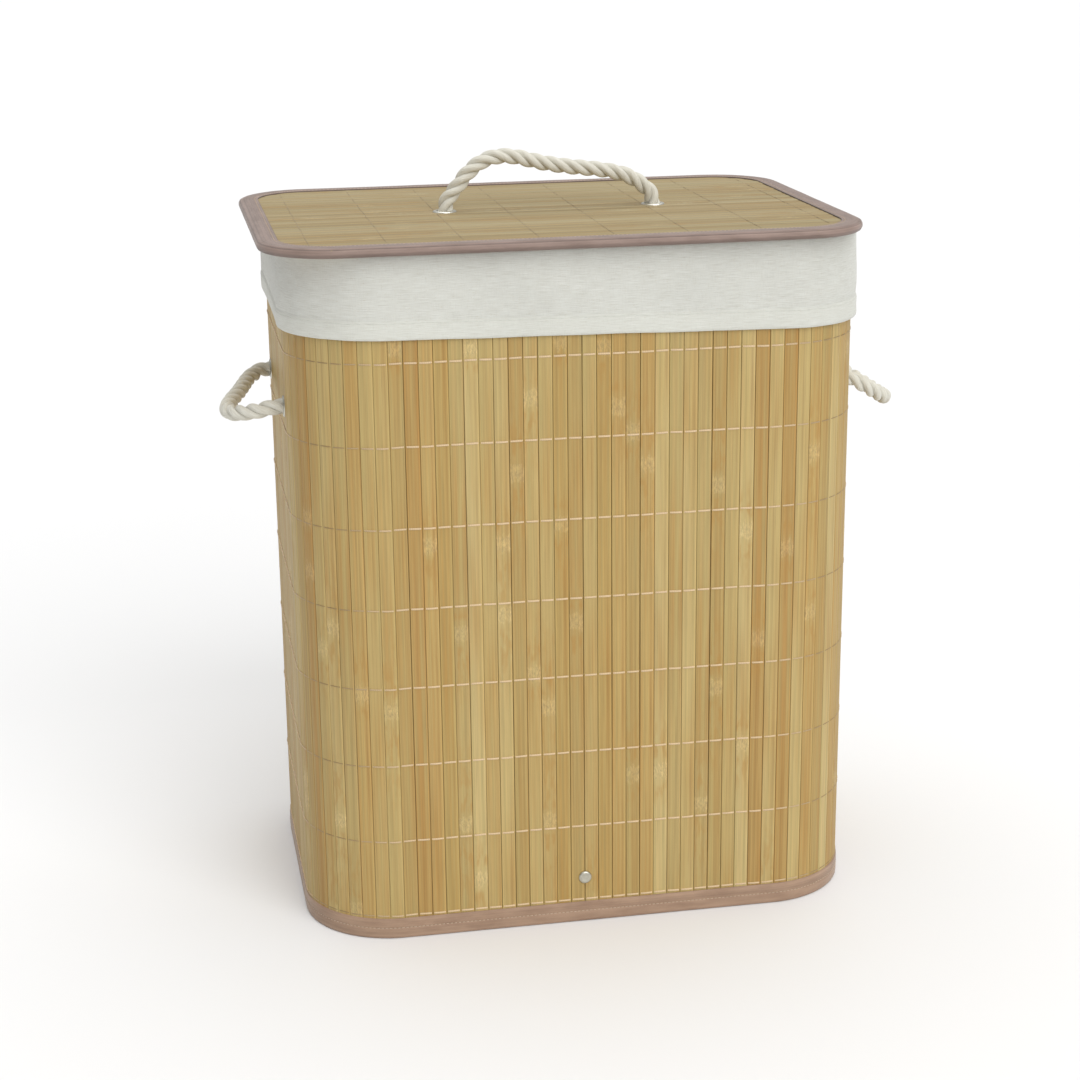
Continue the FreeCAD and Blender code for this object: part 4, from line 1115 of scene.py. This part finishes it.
def make_liner_cotton():
    """Off-white slub cotton: a plain weave with thick and thin threads, mostly across."""
    shade = Shader("liner_cotton")
    grain, parts = shade.grain()
    wander = shade.streaks(grain, (90.0, 90.0, 90.0), detail=2.0)
    weft = shade.math("SINE", shade.math("ADD", shade.math("MULTIPLY", parts[1], 7200.0),
                                         shade.math("MULTIPLY", wander, 9.0)))
    warp = shade.math("SINE", shade.math("ADD", shade.math("MULTIPLY", parts[0], 7200.0),
                                         shade.math("MULTIPLY", wander, 7.0)))
    slub = shade.streaks(grain, (85.0, 2400.0, 0.0), detail=5.0, roughness=0.65)
    upright = shade.streaks(grain, (1900.0, 150.0, 0.0), detail=4.0)
    base = shade.ramp(slub, [(0.28, (186, 185, 175)), (0.45, (203, 203, 195)),
                             (0.58, (211, 212, 205)), (0.8, (222, 222, 216))])
    base = shade.times(base, shade.ramp(upright, [(0.3, 0.95), (0.5, 1.0), (0.8, 1.02)]))
    cloudy = shade.streaks(grain, (14.0, 22.0, 14.0), detail=3.0)
    base = shade.times(base, shade.ramp(cloudy, [(0.3, 0.95), (0.7, 1.03)]))
    flecks = shade.streaks(grain, (520.0, 2600.0, 0.0), detail=2.0)
    base = shade.mix(shade.ramp(flecks, [(0.63, 0.0), (0.72, 0.6)]), base,
                     linear((186, 172, 144)))
    hem = shade.math("MULTIPLY", shade.tone(), 0.16)
    base = shade.mix(hem, base, linear((226, 227, 214)))
    shade.set("Base Color", base)
    weave = shade.math("MULTIPLY", weft, warp)
    height = shade.math("ADD", shade.math("MULTIPLY", weave, 0.25),
                        shade.math("ADD", slub, shade.math("MULTIPLY", upright, 0.5)))
    shade.set("Normal", shade.bump(height, 0.15 * MM, 0.4))
    shade.surface(Roughness=0.88, Sheen_Weight=0.15, Sheen_Roughness=0.5)
    return shade.material


# ---------------------------------------------------------------- base and inner cloths

def add_backing():
    """Cloth behind the slats, drawn in a little at every gap between two of them."""
    gaps = sorted(middle - pitch / 2 for _, middle, pitch in wall_slat_places())
    stations = []
    for before, after in zip(gaps, gaps[1:] + [gaps[0] + wall.length]):
        stations += [before, before + 0.12 * (after - before), (before + after) / 2,
                     before + 0.88 * (after - before)]
    marks = {round(gap % wall.length, 6) for gap in gaps}
    inner = -SLAT_THICK - BACKING
    steps = 24
    heights = [SLAT_LOW + (SLAT_HIGH - SLAT_LOW) * step / steps for step in range(steps + 1)]
    section = [(-SLAT_THICK, height) for height in heights]
    section += [(inner, height) for height in reversed(heights)]

    def shift(distance, out, height):
        drawn = 0.2 * MM if round(distance % wall.length, 6) in marks else 0.0
        return (out + drawn if out < inner + 0.1 * MM else out), height

    build = Build()
    sweep(build, wall, stations, section[::-1], shift)
    piece = build.piece("wall_backing_cloth", BACKING_CLOTH, "hamper", "backing_cloth",
                        ["wall_backing"])
    cut_round_holes(piece, side_holes(-1) + side_holes(1))


def add_base():
    """The base panel in its cloth cover: soft edges, a seam round the top and faint dimples."""
    low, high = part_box("base_cover")
    inset = low.x + WALL_HALF_W
    shape = Outline(WALL_HALF_W - inset, WALL_HALF_D - inset, WALL_CORNER - inset)
    tall = high.z - low.z
    sizes = [ring / 16 for ring in range(16)]
    levels = [(size, 0.0, 0.0) for size in sizes]
    levels += [(1.0, 1.0, 0.0), (1.0, 0.3, 0.12), (1.0, 0.0, 0.35), (1.0, 0.0, 0.65),
               (1.0, 0.3, 0.88), (1.0, 1.0, 1.0), (1.0, 5.0, 1.0), (1.0, 5.6, 0.94),
               (1.0, 6.2, 1.0)]
    levels += [(size, 6.2, 1.0) for size in reversed(sizes)]
    levels = [(size, drawn * MM, share) for size, drawn, share in levels]

    def rise(x, y, size, share):
        dimple = 0.12 * MM * (noise.noise(Vector((x * 30, y * 30, share))) - 1.0)
        level = low.z + tall * share + (dimple if share > 0.9 else -dimple)
        return max(level, low.z), share

    build = Build()
    build.grid(*ring_rows(shape, levels, 150, rise))
    build.piece("base_panel", BASE_CLOTH, "hamper", "backing_cloth",
                ["base_cover", "base_top_cloth"])


def add_cloth_angle(name, node, front):
    """A strip of cloth that turns from the base up the wall, with a soft bend and sewn edges."""
    low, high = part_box(node)
    thick = 0.8 * MM
    sign = -1 if front else 1
    wall_y = low.y if front else high.y
    base_y = high.y if front else low.y
    bend = 3.0 * MM
    middle_line = [(base_y, low.z + thick / 2)]
    middle_line += [(base_y + (wall_y - sign * bend - base_y) * step / 5, low.z + thick / 2)
                    for step in range(1, 6)]
    for step in range(1, 6):
        angle = math.pi / 2 * step / 6
        middle_line.append((wall_y - sign * (bend - (bend - thick / 2) * math.sin(angle)),
                            low.z + thick / 2 + bend * (1 - math.cos(angle))))
    middle_line += [(wall_y - sign * thick / 2, low.z + bend + (high.z - low.z - bend) * step / 6)
                    for step in range(7)]
    across_steps = 24
    rows, grain = [], []
    for index, (y, z) in enumerate(middle_line):
        before = middle_line[max(index - 1, 0)]
        after = middle_line[min(index + 1, len(middle_line) - 1)]
        ahead = Vector((0, after[0] - before[0], after[1] - before[1])).normalized()
        face = Vector((0, -ahead.z, ahead.y)) * thick / 2 * sign
        row, marks = [], []
        for up in (1, -1):
            for step in range(across_steps + 1):
                share = step / across_steps if up > 0 else 1 - step / across_steps
                x = low.x + (high.x - low.x) * share
                thin = 0.55 if step in (0, across_steps) else 1.0
                row.append(Vector((x, y, z)) + face * up * thin)
                marks.append((x, index * 4 * MM, 0.0))
        rows.append(row)
        grain.append(marks)
    build = Build()
    build.grid(rows, grain, caps=True)
    piece = build.piece(name, BASE_CLOTH, "hamper", "backing_cloth", [node], angle=60)
    if front:
        cut_round_holes(piece, [((SNAP.x, wall_y, SNAP.z), (0, 1, 0), 1.8 * MM, 10 * MM)])


def add_lid_lining():
    """The lid's cloth underside, under the board."""
    low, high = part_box("lid_lining")
    shape = Outline(LID_HALF_W - TAPE - 0.3 * MM, LID_HALF_D - TAPE - 0.3 * MM,
                    LID_CORNER - TAPE, LID_CENTRE)
    rings = 22
    levels = [(ring / rings, 0.0, (low.z, -1)) for ring in range(rings + 1)]
    levels += [(ring / rings, 0.0, (high.z, 0)) for ring in range(rings, -1, -1)]

    def rise(x, y, size, level):
        ripple = 0.25 * MM * (1 + noise.noise(Vector((x * 26, y * 26, 2.0))))
        return level[0] + level[1] * ripple * (1 - size ** 4), 0.0

    build = Build()
    build.grid(*ring_rows(shape, levels, 160, rise))
    piece = build.piece("lid_lining_cloth", BACKING_CLOTH, "lid", "backing_cloth",
                        ["lid_lining"])
    cut_round_holes(piece, [((hole, LID_HANDLE.y, low.z), (0, 0, 1), ROPE_HOLE, 6 * MM)
                            for hole in lid_hole_places()])


def make_cloth(name, colour, dark, scale):
    """Plain matt cloth: a pressed, slightly blotchy surface with a fine square weave."""
    shade = Shader(name)
    grain, parts = shade.grain()
    weave = shade.math("MULTIPLY", shade.wave(parts[0], scale),
                       shade.wave(parts[1], scale))
    blotch = shade.streaks(grain, (45.0, 45.0, 45.0), detail=6.0,
                         roughness=0.7)
    base = shade.ramp(blotch, [(0.3, dark), (0.6, colour)])
    fine = shade.ramp(shade.math("ADD", shade.math("MULTIPLY", weave, 0.5), 0.5),
                      [(0.0, 0.9), (1.0, 1.04)])
    shade.set("Base Color", shade.times(base, fine))
    height = shade.math("ADD", shade.math("MULTIPLY", weave, 0.4), blotch)
    shade.set("Normal", shade.bump(height, 0.3 * MM, 0.5))
    shade.surface(Roughness=0.9, Sheen_Weight=0.15)
    return shade.material


# ---------------------------------------------------------------- metal

def lathe(build, profile, centre, axis, steps=40):
    """Turn a profile of (radius, height along the axis) about an axis."""
    axis = Vector(axis).normalized()
    side = axis.orthogonal().normalized()
    up = axis.cross(side)
    rows, grain = [], []
    for step in range(steps):
        angle = 2 * math.pi * step / steps
        outward = side * math.cos(angle) + up * math.sin(angle)
        rows.append([Vector(centre) + outward * radius * MM + axis * height * MM
                     for radius, height in profile])
        grain.append([(angle * 4 * MM, height * MM, radius) for radius, height in profile])
    build.grid(rows, grain, loop=True)


def rolled_ring(bore, flange, through):
    """A pressed eyelet: a rolled flange on the outer face, a barrel and a clinched inner edge."""
    outer = [(bore, 0.35), (bore + 0.15, 0.8), (bore + 0.5, 1.05), (flange - 0.7, 0.85),
             (flange - 0.15, 0.45), (flange, 0.05), (flange - 0.35, -0.02), (bore + 0.5, 0.0)]
    inner = [(bore + 0.5, -through), (flange - 0.5, -through - 0.05),
             (flange - 0.2, -through - 0.4), (flange - 0.8, -through - 0.75),
             (bore + 0.4, -through - 0.8), (bore + 0.05, -through - 0.5), (bore, -through)]
    return outer + inner


def add_eyelets():
    through = (SLAT_THICK + BACKING) / MM
    for side, sign in (("left", -1), ("right", 1)):
        build = Build()
        for hole in (-HANDLE_HALF, HANDLE_HALF):
            lathe(build, rolled_ring(EYELET_BORE, SIDE_FLANGE, through),
                  (sign * WALL_HALF_W, hole, HANDLE_Z), (sign, 0, 0))
        build.piece(f"{side}_metal_eyelets", NICKEL, "hamper", "nickel", [f"{side}_eyelets"],
                    angle=45)
    build = Build()
    lid_inner = (LID_FACE - lid_low.z - TAPE) / MM
    for hole in lid_hole_places():
        lathe(build, rolled_ring(EYELET_BORE, LID_FLANGE, lid_inner),
              (hole, LID_HANDLE.y, LID_FACE), (0, 0, 1))
    # The lid's eyelets use the lighter copy of the nickel, a painted highlight.
    build.piece("lid_metal_eyelets", NICKEL_PAINTED_HIGHLIGHT, "lid", "nickel", ["lid_eyelets"], angle=45)


def add_snap_cap():
    """The snap's cap: a low dome with a rolled rim and a faint dished middle."""
    profile = [(0.02, 1.18), (1.2, 1.22), (2.4, 1.36), (3.2, 1.5), (3.9, 1.42), (4.45, 1.0),
               (4.75, 0.45), (4.7, 0.08), (4.3, 0.0), (1.5, 0.0), (1.5, -2.6), (0.02, -2.6)]
    build = Build()
    lathe(build, profile, SNAP, (0, -1, 0), steps=48)
    build.piece("snap_cap_dome", NICKEL, "hamper", "nickel", ["snap_cap"], angle=50)


def make_metal(name, colour, roughness):
    """Plated metal with fine dull spots."""
    shade = Shader(name)
    place = shade.node("TexCoord").outputs["Object"]
    dull = shade.noise(place, 900.0, detail=3.0)
    light = tuple(min(255, part + 14) for part in colour)
    shade.set("Base Color", shade.ramp(dull, [(0.3, colour), (0.7, light)]))
    shade.set("Roughness", shade.ramp(dull, [(0.3, roughness), (0.7, roughness + 0.12)]))
    shade.set("Normal", shade.bump(dull, 0.04 * MM, 0.3))
    shade.surface(Metallic=1.0)
    return shade.material


def make_board(name, colour, dark):
    """Fibreboard: short pressed fibres."""
    shade = Shader(name)
    place = shade.node("TexCoord").outputs["Object"]
    fibres = shade.streaks(place, (300.0, 500.0, 400.0), detail=5.0)
    shade.set("Base Color", shade.ramp(fibres, [(0.3, dark), (0.7, colour)]))
    shade.set("Normal", shade.bump(fibres, 0.1 * MM, 0.4))
    shade.surface(Roughness=0.85)
    return shade.material


def dress_cad_nodes():
    """The stiff inner pieces stay as the CAD model has them, with a real finish."""
    for node, material in (("base_board", FIBREBOARD), ("lid_board", FIBREBOARD),
                           ("snap_stud", NICKEL), ("snap_socket", NICKEL)):
        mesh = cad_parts[node].data
        mesh.materials.clear()
        mesh.materials.append(material)


make_camera()
make_stage()
ROPE_COTTON = make_rope_cotton()
add_side_handle("left", LEFT_ROUTE, 15.0)
add_side_handle("right", RIGHT_ROUTE, 32.0)
add_lid_handle()

WALL_BAMBOO = make_bamboo("wall_bamboo", [(0.0, (172, 144, 88)), (0.14, (181, 155, 99)),
                                          (0.28, (174, 143, 83)), (0.38, (187, 163, 108)),
                                          (0.52, (170, 134, 76)), (0.60, (184, 158, 102)),
                                          (0.72, (176, 151, 97)), (0.84, (191, 168, 114)),
                                          (0.94, (180, 147, 88))],
                          (170, 127, 62), (180, 165, 108), (224, 206, 164))
# The lid's palette is the bamboo's own colours made greyer: painted reflection, the grey sheen of
# the sky on the lid's top.
LID_BAMBOO = make_bamboo("lid_bamboo", [(0.0, (158, 139, 101)), (0.2, (166, 150, 113)),
                                        (0.4, (154, 135, 97)), (0.6, (169, 154, 118)),
                                        (0.8, (160, 143, 105))], (160, 128, 80),
                         (158, 146, 106), (182, 168, 132))
# The stitch thread's dark colour is painted shade, used where the thread sinks in at the wall's
# corners.
THREAD = make_thread("stitch_thread", (224, 197, 157), (150, 124, 80))
LID_THREAD = make_thread("lid_stitch_thread", (160, 140, 102), (142, 122, 88))
TAPE_THREAD = make_thread("tape_thread", (208, 186, 162), (190, 168, 144))
LINER_THREAD = make_thread("liner_thread", (220, 221, 212), (206, 207, 198))
TAPE_CLOTH = make_tape("binding_tape", (166, 137, 114), (150, 121, 99), 0.88)
LID_TAPE_CLOTH = make_tape("lid_binding_tape", (145, 124, 114), (128, 108, 98), 0.72)
LINER_COTTON = make_liner_cotton()
BACKING_CLOTH = make_cloth("backing_cloth", (192, 166, 122), (170, 144, 102), 4200.0)
BASE_CLOTH = make_cloth("base_cloth", (206, 202, 190), (188, 183, 170), 5200.0)
NICKEL = make_metal("nickel", (188, 186, 174), 0.3)
# A lighter copy of the nickel for the lid's eyelets: painted highlight, the white glint they catch
# from above.
NICKEL_PAINTED_HIGHLIGHT = make_metal("lid_nickel_painted_highlight", (226, 224, 214), 0.35)
FIBREBOARD = make_board("fibreboard", (150, 116, 80), (118, 88, 58))
add_wall_slats()
add_wall_threads()
add_wall_tapes()
add_backing()
add_base()
add_cloth_angle("base_hinge_cloth", "base_hinge_strip", front=False)
add_cloth_angle("base_flap_cloth", "base_flap", front=True)
add_snap_cap()
add_eyelets()
add_cuff()
add_bag()
add_lid_slats()
add_lid_threads()
add_lid_tape()
add_lid_lining()
dress_cad_nodes()
